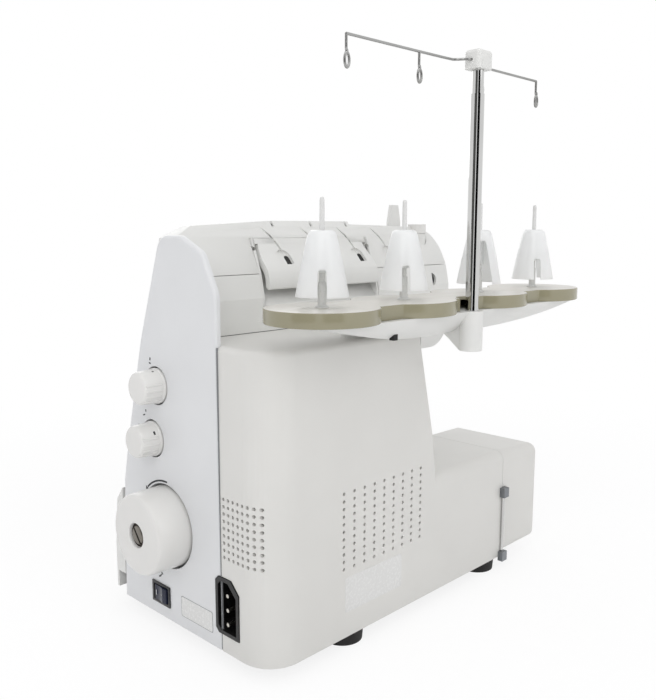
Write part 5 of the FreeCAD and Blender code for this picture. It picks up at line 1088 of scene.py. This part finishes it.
@dataclass
class Handwheel:
    """The handwheel: a drum with a rounded face and a slotted screw sunk in its middle."""

    bore: float = 6.3
    draft: float = 0.6
    corner: float = 3.0
    dish: float = 3.0
    dish_radius: float = 8.6
    screw_radius: float = 6.4
    screw_tall: float = 2.0
    shade_ring_radius: float = 8.3
    slot_width: float = 1.8
    slot_depth: float = 1.2
    slot_turn: float = 38.0

    def build(self) -> None:
        """Model the drum, the screw and the dark ring of painted shade round the screw."""
        low, high = (Vector(corner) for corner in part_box("handwheel"))
        centre = middle("handwheel")
        centre.x = low.x
        length = (high.x - low.x) / MM
        radius = (high.y - low.y) / 2 / MM
        face = radius - self.draft
        drum = turned(
            "handwheel_drum",
            centre,
            Axis.X,
            [
                (0.0, self.bore),
                (0.0, radius),
                (length - self.corner, face),
                (length - self.corner * 0.3, face - self.corner * 0.35),
                (length, face - self.corner),
                (length, self.dish_radius + 0.6),
                (length - 0.5, self.dish_radius),
                (length - self.dish, self.dish_radius - 0.2),
            ],
            96,
        )
        round_edges(drum, 0.35)
        make_smooth(drum)
        place_piece(drum, "drive_shaft", "dial_white", KNOB_ABS, "handwheel")
        seat = centre + Vector(((length - self.dish) * MM, 0.0, 0.0))
        screw = turned(
            "handwheel_screw_head",
            seat,
            Axis.X,
            [
                (-0.4, self.screw_radius),
                (self.screw_tall - 0.6, self.screw_radius),
                (self.screw_tall, self.screw_radius - 0.7),
            ],
            48,
        )
        half = self.slot_width / 2
        reach = self.screw_radius + 1.0
        cutter = block(
            "screw_slot_cutter",
            Vector((self.screw_tall - self.slot_depth, -half, -reach)) * MM,
            Vector((self.screw_tall + 1.0, half, reach)) * MM,
        )
        cutter.rotation_euler = (math.radians(self.slot_turn), 0.0, 0.0)
        cutter.location = seat
        make_active(cutter)
        cut_with(screw, settled(cutter.name))
        round_edges(screw, 0.15)
        make_smooth(screw)
        place_piece(screw, "drive_shaft", "bright_steel", SCREW_STEEL, "handwheel_screw")
        # A near-black ring under the screw head: painted shade of the recess round the screw.
        shade_ring = turned(
            "handwheel_recess_shade_ring",
            seat,
            Axis.X,
            [
                (-0.3, self.shade_ring_radius),
                (0.5, self.shade_ring_radius),
                (0.9, self.shade_ring_radius - 0.4),
            ],
            48,
        )
        make_smooth(shade_ring)
        place_piece(shade_ring, "drive_shaft", "bright_steel", RECESS_SHADE_BROWN)


@dataclass
class GripDial:
    """A dial with a rounded face, soft ridges on part of its side and a printed pointer."""

    node: str
    body: str
    mark: str
    mark_turn: float
    ridges: int = 4
    ridge_first: float = -48.0
    ridge_pitch: float = 21.0
    ridge_start: float = 5.2
    ridge_half: float = 0.9
    ridge_foot: float = 2.4
    ridge_crest: float = 0.1
    ridge_fall: float = 0.5
    inboard: float = 2.6
    face_round: float = 2.4
    draft: float = 1.1
    mark_along: float = 5.0
    mark_half: float = 0.7
    mark_sunk: float = 0.62
    mark_film: float = 0.04

    def build(self) -> None:
        """Model the dial, raise its ridges and print its pointer."""
        low, high = (Vector(corner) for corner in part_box(self.node))
        centre = middle(self.node)
        start = CAD_SIDE - self.inboard * MM
        centre.x = start
        length = (high.x - start) / MM
        radius = (high.y - low.y) / 2 / MM
        rim = radius - self.draft
        dial = turned(
            f"{self.node}_grip",
            centre,
            Axis.X,
            [
                (0.0, radius - 0.4),
                (0.5, radius),
                (3.4, radius),
                (4.2, radius - 0.5),
                (length - self.face_round, rim),
                (length - self.face_round * 0.5, rim - self.face_round * 0.2),
                (length - self.face_round * 0.15, rim - self.face_round * 0.55),
                (length, rim - self.face_round),
            ],
            72,
        )
        round_edges(dial, 0.15, 25.0, 2)
        pieces = [dial]
        end = length - self.face_round * 0.5
        for number in range(self.ridges):
            turn = math.radians(self.ridge_first + self.ridge_pitch * number)
            ridge = block(
                f"{self.node}_ridge_{number + 1}",
                Vector((self.ridge_start, -self.ridge_half, radius - self.ridge_foot)) * MM,
                Vector((end, self.ridge_half, radius - self.ridge_crest)) * MM,
            )
            with editing(ridge):
                pick_faces(ridge, lambda place, way: way.x > 0.9)
                bpy.ops.transform.translate(value=Vector((0.0, 0.0, -self.ridge_fall)) * MM)
            round_edges(ridge, 0.5, 30.0, 3)
            ridge.rotation_euler = (turn - math.pi / 2, 0.0, 0.0)
            ridge.location = centre
            make_active(ridge)
            pieces.append(settled(ridge.name))
        whole = joined(f"{self.node}_grip", pieces)
        make_smooth(whole, 35.0)
        place_piece(whole, self.body, "dial_white", KNOB_ABS, self.node)
        self.print_mark(centre, radius)

    def print_mark(self, centre: Vector, radius: float) -> None:
        """Print the pointer on the dial's side, near the cover: a short bar or a dot.

        Args:
            centre: the middle of the dial's inner end.
            radius: the dial's radius.
        """
        turn = math.radians(self.mark_turn)
        wide = 0.6 if self.mark == "dot" else 1.3
        long = self.mark_half
        piece = block(
            f"{self.node}_pointer",
            Vector((-long, -wide, -0.4)) * MM,
            Vector((long, wide, self.mark_film)) * MM,
        )
        with editing(piece):
            pick_edges(piece, lambda place, way: abs(way.z) > 0.9)
            bpy.ops.mesh.bevel(offset=0.3 * MM, segments=3)
        piece.rotation_euler = (turn - math.pi / 2, 0.0, 0.0)
        way = Vector((0.0, math.cos(turn), math.sin(turn)))
        along = Vector((self.inboard + self.mark_along, 0.0, 0.0)) * MM
        piece.location = centre + along + way * (radius - self.mark_sunk) * MM
        make_active(piece)
        place_piece(settled(piece.name), self.body, "inlet_black", BLACK_INK)


@dataclass
class PowerSwitch:
    """The rocker switch: its two printed marks over the rocker's dished face."""

    mark: float = 4.2
    mark_sunk: float = 0.9
    mark_aside: float = 4.0

    def build(self) -> None:
        """Dress the frame's switch and print its marks."""
        SoftenedPart("switch_frame", "chassis", "switch_black", SWITCH_BLACK, 0.4).build()
        SoftenedPart("power_rocker", "rocker", "rocker_navy", ROCKER_NAVY, 0.35).build()
        low, high = (Vector(corner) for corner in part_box("power_rocker"))
        centre = (low + high) / 2
        for name, text, side in (("mark_on", "I", -1.0), ("mark_off", "O", 1.0)):
            aside = side * self.mark_aside * MM
            place = Vector((high.x - self.mark_sunk * MM, centre.y + aside, centre.z))
            piece = printed(name, text, place, self.mark)
            place_piece(piece, "rocker", "casing_white", WHITE_INK)


def printed(name: str, text: str, place: Vector, size: float) -> bpy.types.Object:
    """Print a mark as a thin raised film that faces the handwheel side.

    Args:
        name: the piece's name.
        text: what is printed.
        place: the middle of the mark.
        size: its height in millimetres.

    Returns:
        The mesh of the print.
    """
    deselect()
    bpy.ops.object.text_add(location=place, rotation=(math.pi / 2, 0.0, math.pi / 2))
    mark = bpy.context.object
    mark.data.body = text
    mark.data.size = size * MM * BODY_SIZE
    mark.data.extrude = PRINT_FILM * MM
    mark.data.align_x = "CENTER"
    mark.data.align_y = "CENTER"
    bpy.ops.object.convert(target="MESH")
    return settled(name)


@dataclass
class SideMarks:
    """What is printed on the end cover: small plain marks and the handwheel's turning arrow.

    Each stroke has its place ahead and above, its width and height, and its lean in degrees.
    """

    arrow_gap: float = 3.4
    arrow: Pair = (86.0, 133.0)
    arrow_wide: float = 1.3
    head_lead: float = 3.0
    head_radius: float = 2.2
    head_film: float = 0.03
    film: float = 0.05
    strokes: tuple[tuple[str, Pair, Pair, float], ...] = (
        ("upper_dial_stroke_1", (121.5, 187.6), (1.3, 2.2), -10.0),
        ("upper_dial_stroke_2", (121.9, 184.6), (2.2, 1.0), -10.0),
        ("between_stroke_1", (129.0, 149.8), (1.2, 1.8), 0.0),
        ("between_stroke_2", (131.4, 146.4), (2.8, 0.9), 20.0),
        ("between_stroke_3", (138.3, 137.9), (1.2, 1.2), 0.0),
        ("wheel_foot_stroke_1", (115.0, 32.6), (2.2, 1.3), -35.0),
        ("wheel_foot_stroke_2", (116.8, 30.6), (1.2, 2.8), -35.0),
        ("wheel_foot_stroke_3", (118.6, 29.4), (1.0, 1.6), -35.0),
    )

    def build(self) -> None:
        """Print the strokes by the dials, the turning arrow and the mark under the handwheel."""
        for name, (ahead, above), (wide, tall), turn in self.strokes:
            stroke = self.stroke(name, spot(0.0, ahead, above), wide, tall, turn)
            place_piece(stroke, "chassis", "inlet_black", BLACK_INK)
        wheel = middle("handwheel")
        low, high = (Vector(corner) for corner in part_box("handwheel"))
        radius = (high.y - low.y) / 2 / MM + self.arrow_gap
        centre = Vector((CAD_SIDE + self.film * MM / 2, wheel.y, wheel.z))
        arc = self.arc("turning_arrow_line", centre, radius, *self.arrow, self.arrow_wide)
        place_piece(arc, "chassis", "inlet_black", BLACK_INK)
        turn = math.radians(self.arrow[1] + self.head_lead)
        tip = centre + Vector((0.0, radius * math.cos(turn), radius * math.sin(turn))) * MM
        rings = [(0.0, self.head_radius), (self.head_film, self.head_radius)]
        head = turned("turning_arrow_head", tip, Axis.X, rings, 3)
        place_piece(head, "chassis", "inlet_black", BLACK_INK)

    def stroke(
        self, name: str, place: Vector, wide: float, tall: float, turn: float
    ) -> bpy.types.Object:
        """One short printed stroke.

        Args:
            name: the stroke's name.
            place: its middle on the cover.
            wide: its length from front to back.
            tall: its height.
            turn: how far it leans, in degrees.

        Returns:
            The stroke.
        """
        half = Vector((self.film, wide / 2, tall / 2)) * MM
        piece = block(name, -half, half)
        with editing(piece):
            pick_edges(piece, lambda place, way: abs(way.x) > 0.9)
            bpy.ops.mesh.bevel(offset=min(wide, tall) * 0.3 * MM, segments=2)
        piece.rotation_euler = (math.radians(turn), 0.0, 0.0)
        piece.location = place
        make_active(piece)
        return settled(name)

    def arc(
        self, name: str, centre: Vector, radius: float, start: float, end: float, width: float
    ) -> bpy.types.Object:
        """Print an arc of a circle on the end cover.

        Args:
            name: the piece's name.
            centre: the circle's centre on the cover.
            radius: the circle's radius in millimetres.
            start: the first angle in degrees, from the back and upwards.
            end: the last angle.
            width: the line's width in millimetres.

        Returns:
            The mesh of the arc.
        """
        first = math.radians(start)
        corner = centre + Vector((0.0, math.cos(first), math.sin(first))) * radius * MM
        deselect()
        bpy.ops.mesh.primitive_plane_add(size=1.0, location=corner, rotation=(first, 0.0, 0.0))
        bpy.context.object.scale = (0.06 * MM, width * MM, 1.0)
        piece = settled(name)
        with editing(piece):
            bpy.ops.mesh.select_all(action="SELECT")
            bpy.ops.mesh.spin(
                steps=24, angle=math.radians(end - start), center=centre, axis=(-1.0, 0.0, 0.0)
            )
        tidy_mesh(piece)
        return piece


@dataclass
class Labels:
    """The two blank foil labels: one in a printed border on the end cover, one low on the back."""

    thick: float = 0.12
    border: float = 0.45
    corner: float = 1.4
    side_ahead: Pair = (57.0, 92.0)
    side_above: Pair = (9.0, 23.0)
    rear_across: Pair = (69.0, 129.0)
    rear_above: Pair = (18.0, 43.0)

    def build(self) -> None:
        """Stick both labels on."""
        label = slab("side_label", (-self.thick, 0.0), self.side_ahead, self.side_above)
        self.round_label(label, Axis.X)
        place_piece(label, "chassis", "casing_white", LABEL_FOIL)
        sides = (self.side_ahead, self.side_above)
        ahead, above = ((low - self.border, high + self.border) for low, high in sides)
        border = slab("side_label_border", (-self.thick * 0.5, 0.0), ahead, above)
        self.round_label(border, Axis.X)
        place_piece(border, "chassis", "inlet_black", GREY_INK)
        rear = slab("rating_label", self.rear_across, (-self.thick, 0.0), self.rear_above)
        self.round_label(rear, Axis.Y)
        place_piece(rear, "chassis", "casing_white", LABEL_FOIL)

    def round_label(self, label: bpy.types.Object, axis: Axis) -> None:
        """Round a label's four corners.

        Args:
            label: the label.
            axis: the direction that it faces.
        """
        with editing(label):
            pick_edges(label, lambda place, way: abs(way.dot(axis.direction)) > 0.9)
            bpy.ops.mesh.bevel(offset=self.corner * MM, segments=5)


@dataclass
class SpoolBells:
    """Four milky bells that steady the thread cones, each on the step of its pin."""

    wall: float = 1.0
    slot: float = 5.2
    slot_top: float = 0.42
    gap_low: float = 15.0
    gap_high: float = 5.0
    gap_top: float = 0.9
    gap_short: float = 4.0
    cut_reach: Pair = (4.5, 24.0)
    cut_middle: float = 10.0
    tube: float = 3.3
    tube_bore: float = 2.2
    tube_long: float = 24.0
    top_radius: float = 7.7
    sides: int = 64
    turns: tuple[float, ...] = (45.0, 45.0, 225.0, 45.0)

    def build(self) -> None:
        """Model a bell for each pin, with its slot towards the back corner or away from it."""
        low = Vector(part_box("spool_cones")[0])
        for number, (pin, turn) in enumerate(zip(pin_places(), self.turns)):
            name = f"spool_bell_{number + 1}"
            whole = self.bell(name, Vector((pin.x, pin.y, low.z)), math.radians(turn))
            nodes = ["spool_cones"] if number == 0 else []
            place_piece(whole, "chassis", "cone_clear", BELL_PP, *nodes)
            whole.visible_shadow = False

    def bell(self, name: str, centre: Vector, turn: float) -> bpy.types.Object:
        """One bell: a thin cone with a rounded crown, its two openings and the tube inside.

        Args:
            name: the bell's name.
            centre: the middle of its foot.
            turn: which way its slot faces, in radians from the handwheel side.

        Returns:
            The bell.
        """
        low, high = (Vector(corner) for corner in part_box("spool_cones"))
        radius = (high.y - low.y) / 2 / MM
        tall = (high.z - low.z) / MM
        top = self.top_radius
        bell = turned(
            name,
            centre,
            Axis.Z,
            [
                (0.0, radius - self.wall),
                (0.0, radius),
                (tall * 0.5, (radius + top) / 2 + 0.5),
                (tall - 3.0, top + 0.9),
                (tall - 1.2, top),
                (tall - 0.3, top - 1.1),
                (tall, top - 2.4),
                (tall, self.tube),
                (tall - self.wall, self.tube),
                (tall - self.wall, top - 2.6),
                (tall - 2.4, top - 1.1),
                (tall * 0.5, (radius + top) / 2 - 0.5),
                (0.4, radius - self.wall - 0.1),
            ],
            self.sides,
        )
        close_ring(bell, centre, 2.0)
        with editing(bell):
            bpy.ops.mesh.select_all(action="SELECT")
            bpy.ops.mesh.normals_make_consistent(inside=False)
        slot_tall = tall * self.slot_top
        slot = self.opening(f"{name}_slot", centre, turn, self.slot, self.slot, slot_tall)
        gap_tall = tall * self.gap_top - self.gap_short
        gap = self.opening(
            f"{name}_gap", centre, turn + math.pi, self.gap_low, self.gap_high, gap_tall
        )
        cut_with(bell, slot)
        cut_with(bell, gap)
        stem = turned(
            f"{name}_stem",
            centre + Vector((0.0, 0.0, (tall - 0.5) * MM)),
            Axis.Z,
            [
                (0.0, self.tube + 0.3),
                (-self.tube_long, self.tube),
                (-self.tube_long, self.tube_bore),
                (0.0, self.tube_bore),
            ],
            32,
        )
        whole = joined(name, [bell, stem])
        make_smooth(whole, 45.0)
        return whole

    def opening(
        self, name: str, centre: Vector, turn: float, low_wide: float, high_wide: float, tall: float
    ) -> bpy.types.Object:
        """The block that cuts one opening in one side of a bell.

        Args:
            name: the tool's name.
            centre: the middle of the bell's foot.
            turn: which way the opening faces, in radians.
            low_wide: its width at the foot.
            high_wide: its width at the top.
            tall: its height.

        Returns:
            The tool.
        """
        tool = block(
            name,
            Vector((self.cut_reach[0], -low_wide / 2, -1.0)) * MM,
            Vector((self.cut_reach[1], low_wide / 2, tall)) * MM,
        )
        with editing(tool):
            pick_faces(tool, lambda place, way: way.z > 0.9)
            ratio = high_wide / low_wide
            bpy.ops.transform.resize(
                value=(1.0, ratio, 1.0),
                center_override=Vector((self.cut_middle, 0.0, tall)) * MM,
            )
        with editing(tool):
            pick_edges(tool, lambda place, way: abs(way.x) > 0.9 and place.z > (tall - 0.5) * MM)
            bpy.ops.mesh.bevel(offset=high_wide * 0.4 * MM, segments=5)
        tool.rotation_euler = (0.0, 0.0, turn)
        tool.location = centre
        make_active(tool)
        return settled(name)


def pin_places() -> list[Vector]:
    """The foot of each spool pin, from the handwheel side."""
    low, high = (Vector(corner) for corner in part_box("spool_pins"))
    foot = Vector(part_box("spool_tray")[1]).z
    centre = (low.x + high.x) / 2
    far, near = (high.x - low.x) / 2 - PIN_RADIUS * MM, INNER_PIN * MM
    return [
        Vector((centre + offset, (low.y + high.y) / 2, foot)) for offset in (far, near, -near, -far)
    ]


@dataclass
class SpoolPins:
    """Four moulded pins, stepped where the bells rest and tapered to a round tip."""

    step: float = 15.0
    foot_radius: float = PIN_RADIUS
    shaft_radius: float = 1.8
    tip_radius: float = 1.2

    def build(self) -> None:
        """Model one pin and copy it."""
        pins = pin_places()
        top = Vector(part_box("spool_pins")[1]).z
        tall = (top - pins[0].z) / MM
        pin = turned(
            "spool_pin_1",
            pins[0],
            Axis.Z,
            [
                (-3.0, self.foot_radius + 1.6),
                (0.6, self.foot_radius + 1.6),
                (1.6, self.foot_radius + 0.2),
                (self.step - 0.4, self.foot_radius),
                (self.step, self.foot_radius - 0.4),
                (self.step, self.shaft_radius),
                (tall - 1.4, self.tip_radius + 0.25),
                (tall - 0.4, self.tip_radius),
                (tall, self.tip_radius * 0.55),
            ],
            32,
        )
        make_smooth(pin, 50.0)
        pieces = [pin]
        for i, place in enumerate(pins[1:]):
            pieces.append(duplicate(pin, f"spool_pin_{i + 2}", place - pins[0]))
        for i, piece in enumerate(pieces):
            nodes = ["spool_pins"] if i == 0 else []
            place_piece(piece, "chassis", "pin_white", PIN_ACETAL, *nodes)


@dataclass
class GuideWire:
    """The bent thread guide on the pole, with its four hanging pigtail eyes."""

    wire: float = 0.85
    inset: float = 1.0
    droop: float = 0.2
    crank: Pair = (10.5, 16.0)
    bend: float = 2.2
    eye_wide: float = 4.6
    eye_long: float = 9.0
    eye_pitch: float = 1.1
    eye_steps: int = 8
    eye_tail: Triple = (1.6, 0.3, 0.8)
    hang: float = 9.5
    eyes: tuple[float, ...] = (115.0, 50.0, -17.0, -88.0)

    def build(self) -> None:
        """Bend the bar and twist on its eyes."""
        low, high = (Vector(corner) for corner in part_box("thread_guide_wire"))
        cap = middle("pole_cap")
        front = low.y + self.inset * MM
        level = high.z - self.inset * MM
        end_level = level - self.droop * MM
        near, far = (reach * MM for reach in self.crank)
        line = [
            (self.eyes[0] * MM, front, end_level),
            (cap.x + far, front, level),
            (cap.x + near, cap.y, level),
            (cap.x, cap.y, level),
            (cap.x - near, cap.y, level),
            (cap.x - far, front, level),
            (self.eyes[-1] * MM, front, end_level),
        ]
        parts = [self.bar("guide_bar", line)]
        parts += [
            self.eye(f"guide_eye_{i}", Vector((x * MM, front, level)))
            for i, x in enumerate(self.eyes)
        ]
        whole = joined("thread_guide_rail", parts)
        make_smooth(whole, 60.0)
        place_piece(whole, "guide_swivel_head", "chrome", NICKEL_WIRE, "thread_guide_wire")

    def bar(self, name: str, points: Sequence[Triple]) -> bpy.types.Object:
        """A round bar along straight runs, with each corner bent.

        Args:
            name: the piece's name.
            points: the corners in metres.

        Returns:
            The bar as a mesh.
        """
        corners = [Vector(p) for p in points]
        path = [corners[0]]
        for before, corner, after in zip(corners, corners[1:], corners[2:]):
            back, on = before - corner, after - corner
            reach = min(self.bend * MM, back.length * 0.4, on.length * 0.4)
            path += [corner + back.normalized() * reach, corner + on.normalized() * reach]
        path.append(corners[-1])
        return round_wire(name, path, self.wire)

    def eye(self, name: str, top: Vector) -> bpy.types.Object:
        """One pigtail: a stem that hangs down and turns once round.

        Args:
            name: the piece's name.
            top: where it hangs from the bar, in metres.

        Returns:
            The eye as a mesh.
        """
        neck = top - Vector((0.0, 0.0, self.hang * MM))
        wide, long = self.eye_wide / 2 * MM, self.eye_long * MM
        path = [top, top - Vector((0.0, 0.0, self.hang * 0.6 * MM)), neck]
        for part in range(1, self.eye_steps + 1):
            turn = 2 * math.pi * part / self.eye_steps
            aside = -wide * math.sin(turn)
            back = self.eye_pitch * MM * part / self.eye_steps
            down = -long / 2 * (1 - math.cos(turn))
            path.append(neck + Vector((aside, back, down)))
        path.append(path[-1] + Vector([step * MM for step in self.eye_tail]))
        return round_wire(name, path, self.wire)


@dataclass
class Studio:
    """The white sweep, the soft light, the dark cards that the chrome mirrors, and the camera.

    Each light has its place, its power and its size, and each card its direction, its distance,
    its width and its colour. Places of lights and sizes of lights, cards and floor are in metres.
    """

    lens: float = 40.9
    sensor: float = 36.0
    position: Triple = (450.2, 409.5, 289.0)
    pitch: float = 8.7
    turn: float = 134.4
    aim_height: float = 0.18
    floor_size: float = 40.0
    floor_colour: str = "#ffffff"
    world_colour: str = "#f8f8fa"
    world_strength: float = 0.68
    near_white: float = 0.82
    fade: Pair = (0.25, 0.85)
    lights: tuple[tuple[str, Triple, float, float], ...] = (
        ("key", (1.3, 0.75, 1.25), 6.2, 1.1),
        ("rear", (0.35, 1.75, 1.3), 6.4, 1.3),
        ("top", (0.0, 0.0, 2.0), 3.0, 1.4),
        ("front", (-0.8, -1.6, 1.0), 5.0, 1.2),
    )
    card_middle: float = 0.9
    card_tall: float = 1.8
    cards: tuple[tuple[str, float, float, float, str], ...] = (
        ("dark", 62.0, 1.5, 1.1, "#0b0b0b"),
        ("grey", 8.0, 1.5, 1.2, "#5c5c5a"),
    )

    def build(self) -> None:
        """Set the stage, the lights and the camera."""
        deselect()
        bpy.ops.mesh.primitive_plane_add(size=self.floor_size, location=(0.0, 0.0, 0.0))
        floor = settled("studio_floor")
        floor.data.materials.append(self.floor_material())
        world = bpy.data.worlds.new("studio_world")
        bpy.context.scene.world = world
        world.use_nodes = True
        self.world_nodes(world.node_tree)
        for name, place, power, size in self.lights:
            self.softbox(name, Vector(place), power, size)
        for name, turn, reach, wide, colour in self.cards:
            self.card(name, math.radians(turn), reach, wide, colour)
        self.camera()
        bpy.context.scene.view_settings.view_transform = "Standard"

    def seen(self, tree: bpy.types.NodeTree) -> bpy.types.NodeSocket:
        """One where a ray comes from the camera, a mirror or glass, and nought where it is light.

        Args:
            tree: the node tree.

        Returns:
            The socket.
        """
        path = add_node(tree, "ShaderNodeLightPath")
        direct = add_node(
            tree,
            "ShaderNodeMath",
            {0: path.outputs["Is Camera Ray"], 1: path.outputs["Is Transmission Ray"]},
            operation="MAXIMUM",
        ).outputs[0]
        return add_node(
            tree,
            "ShaderNodeMath",
            {0: direct, 1: path.outputs["Is Glossy Ray"]},
            operation="MAXIMUM",
        ).outputs[0]

    def world_nodes(self, tree: bpy.types.NodeTree) -> None:
        """Pale surroundings: white where they are seen or mirrored, softer as light."""
        tree.nodes.clear()
        light = add_node(
            tree,
            "ShaderNodeBackground",
            {"Color": linear(self.world_colour), "Strength": self.world_strength},
        ).outputs[0]
        white = add_node(
            tree, "ShaderNodeBackground", {"Color": (1.0, 1.0, 1.0, 1.0), "Strength": 1.0}
        ).outputs[0]
        mixed = add_node(
            tree, "ShaderNodeMixShader", {0: self.seen(tree), 1: light, 2: white}
        ).outputs[0]
        add_node(tree, "ShaderNodeOutputWorld", {"Surface": mixed})

    def floor_material(self) -> bpy.types.Material:
        """A white paper sweep: it takes the machine's shadow and is plain white further off."""
        paper = bpy.data.materials.new("white_paper_sweep")
        paper.use_nodes = True
        tree = paper.node_tree
        tree.nodes.clear()
        sheet = add_node(
            tree, "ShaderNodeBsdfDiffuse", {"Color": linear(self.floor_colour), "Roughness": 0.9}
        ).outputs[0]
        white = add_node(
            tree, "ShaderNodeEmission", {"Color": (1.0, 1.0, 1.0, 1.0), "Strength": 1.0}
        ).outputs[0]
        place = add_node(tree, "ShaderNodeTexCoord").outputs["Object"]
        reach = add_node(
            tree, "ShaderNodeVectorMath", {0: place}, operation="LENGTH"
        ).outputs["Value"]
        share = add_node(
            tree,
            "ShaderNodeMapRange",
            {
                "Value": reach,
                "From Min": self.fade[0],
                "From Max": self.fade[1],
                "To Min": self.near_white,
                "To Max": 1.0,
            },
            interpolation_type="SMOOTHSTEP",
        ).outputs["Result"]
        share = add_node(
            tree, "ShaderNodeMath", {0: share, 1: self.seen(tree)}, operation="MULTIPLY"
        ).outputs[0]
        mixed = add_node(tree, "ShaderNodeMixShader", {0: share, 1: sheet, 2: white}).outputs[0]
        add_node(tree, "ShaderNodeOutputMaterial", {"Surface": mixed})
        return paper

    def card(self, name: str, turn: float, reach: float, wide: float, colour: str) -> None:
        """Stand up a dark card that only mirrors can see, as studios do for chrome.

        Args:
            name: the card's name.
            turn: its direction from the pole, in radians from the handwheel side.
            reach: how far off it stands, in metres.
            wide: its width in metres.
            colour: its colour.
        """
        pole = middle("pole_outer")
        way = Vector((math.cos(turn), math.sin(turn), 0.0))
        deselect()
        bpy.ops.mesh.primitive_plane_add(
            size=1.0,
            location=Vector((pole.x, pole.y, self.card_middle)) + way * reach,
            rotation=(math.pi / 2, 0.0, turn + math.pi / 2),
        )
        bpy.context.object.scale = (wide, self.card_tall, 1.0)
        piece = settled(f"studio_card_{name}")
        paint = bpy.data.materials.new(f"card_{name}")
        paint.use_nodes = True
        tree = paint.node_tree
        tree.nodes.clear()
        shade = add_node(
            tree, "ShaderNodeEmission", {"Color": linear(colour), "Strength": 1.0}
        ).outputs[0]
        add_node(tree, "ShaderNodeOutputMaterial", {"Surface": shade})
        piece.data.materials.append(paint)
        piece.visible_camera = False
        piece.visible_diffuse = False
        piece.visible_shadow = False
        piece.visible_transmission = False

    def softbox(self, name: str, place: Vector, power: float, size: float) -> None:
        """A square soft light aimed at the machine.

        Args:
            name: the light's name.
            place: where it hangs, in metres.
            power: its power in watts.
            size: its side in metres.
        """
        data = bpy.data.lights.new(f"softbox_{name}", "AREA")
        data.energy = power
        data.size = size
        lamp = bpy.data.objects.new(f"softbox_{name}", data)
        bpy.context.scene.collection.objects.link(lamp)
        lamp.location = place
        aim = Vector((0.0, 0.0, self.aim_height)) - place
        lamp.rotation_euler = aim.to_track_quat("-Z", "Y").to_euler()

    def camera(self) -> None:
        """The camera, at the height and angle of a person's view across a table."""
        data = bpy.data.cameras.new("camera")
        data.lens = self.lens
        data.sensor_width = self.sensor
        data.sensor_height = self.sensor
        data.sensor_fit = "AUTO"
        camera = bpy.data.objects.new("camera", data)
        bpy.context.scene.collection.objects.link(camera)
        camera.location = Vector(self.position) * MM
        camera.rotation_euler = (math.radians(90.0 - self.pitch), 0.0, math.radians(self.turn))
        bpy.context.scene.camera = camera


NODE_FINISHES: dict[Finish, tuple[str, ...]] = {
    SIDE_ABS: ("end_cover",),
    REAR_ABS: ("rear_cover", "cloth_plate_cover"),
    ARM_ABS: ("upper_cover", "tension_panel", "front_panel", "looper_cover",
              "stand_carrier", "pole_cap", "thread_guide"),
    KNOB_ABS: ("pressure_knob", "tension_dial_1", "tension_dial_2", "tension_dial_3",
               "tension_dial_4"),
    CHROME: ("pole_outer", "pole_inner", "hinge_rod"),
    ZINC_STEEL: ("hinge_brackets", "dial_bracket", "looper_cover_pin"),
    GROUND_STEEL: ("cloth_plate", "needle_plate", "feed_dogs", "lower_looper", "upper_looper",
                   "moving_knife", "fixed_knife", "needle_bar", "needle_clamp", "needles",
                   "presser_bar", "presser_foot", "lifter_lever", "main_shaft", "shaft_bearings",
                   "motor_pulley", "tension_spindle"),
    CAST_ALUMINIUM: ("main_frame", "drive_pulley"),
    GREY_POWDER: ("base_plate",),
    BLACK_POWDER: ("motor",),
    FOOT_RUBBER: ("rubber_feet", "timing_belt"),
    INLET_NYLON: ("power_inlet",),
    PIN_TINNED: ("inlet_pins",),
    LAMP_ACRYLIC: ("lamp",),
}


def main() -> None:
    """Build every sub-assembly in order."""
    logging.basicConfig(level=logging.INFO, format="%(message)s")
    Studio().build()
    for finish, nodes in NODE_FINISHES.items():
        for node in nodes:
            dress_node(node, finish)
    ArmTop().build()
    KnobCollar().build()
    SpoolTray().build()
    PartingShades().build()
    Handwheel().build()
    GripDial("stitch_length_dial", "stitch_dial", "dot", 70.0).build()
    GripDial("differential_dial", "differential", "bar", 33.0).build()
    PowerSwitch().build()
    SideMarks().build()
    Labels().build()
    SpoolPins().build()
    SpoolBells().build()
    GuideWire().build()


if __name__ == "__main__":
    main()
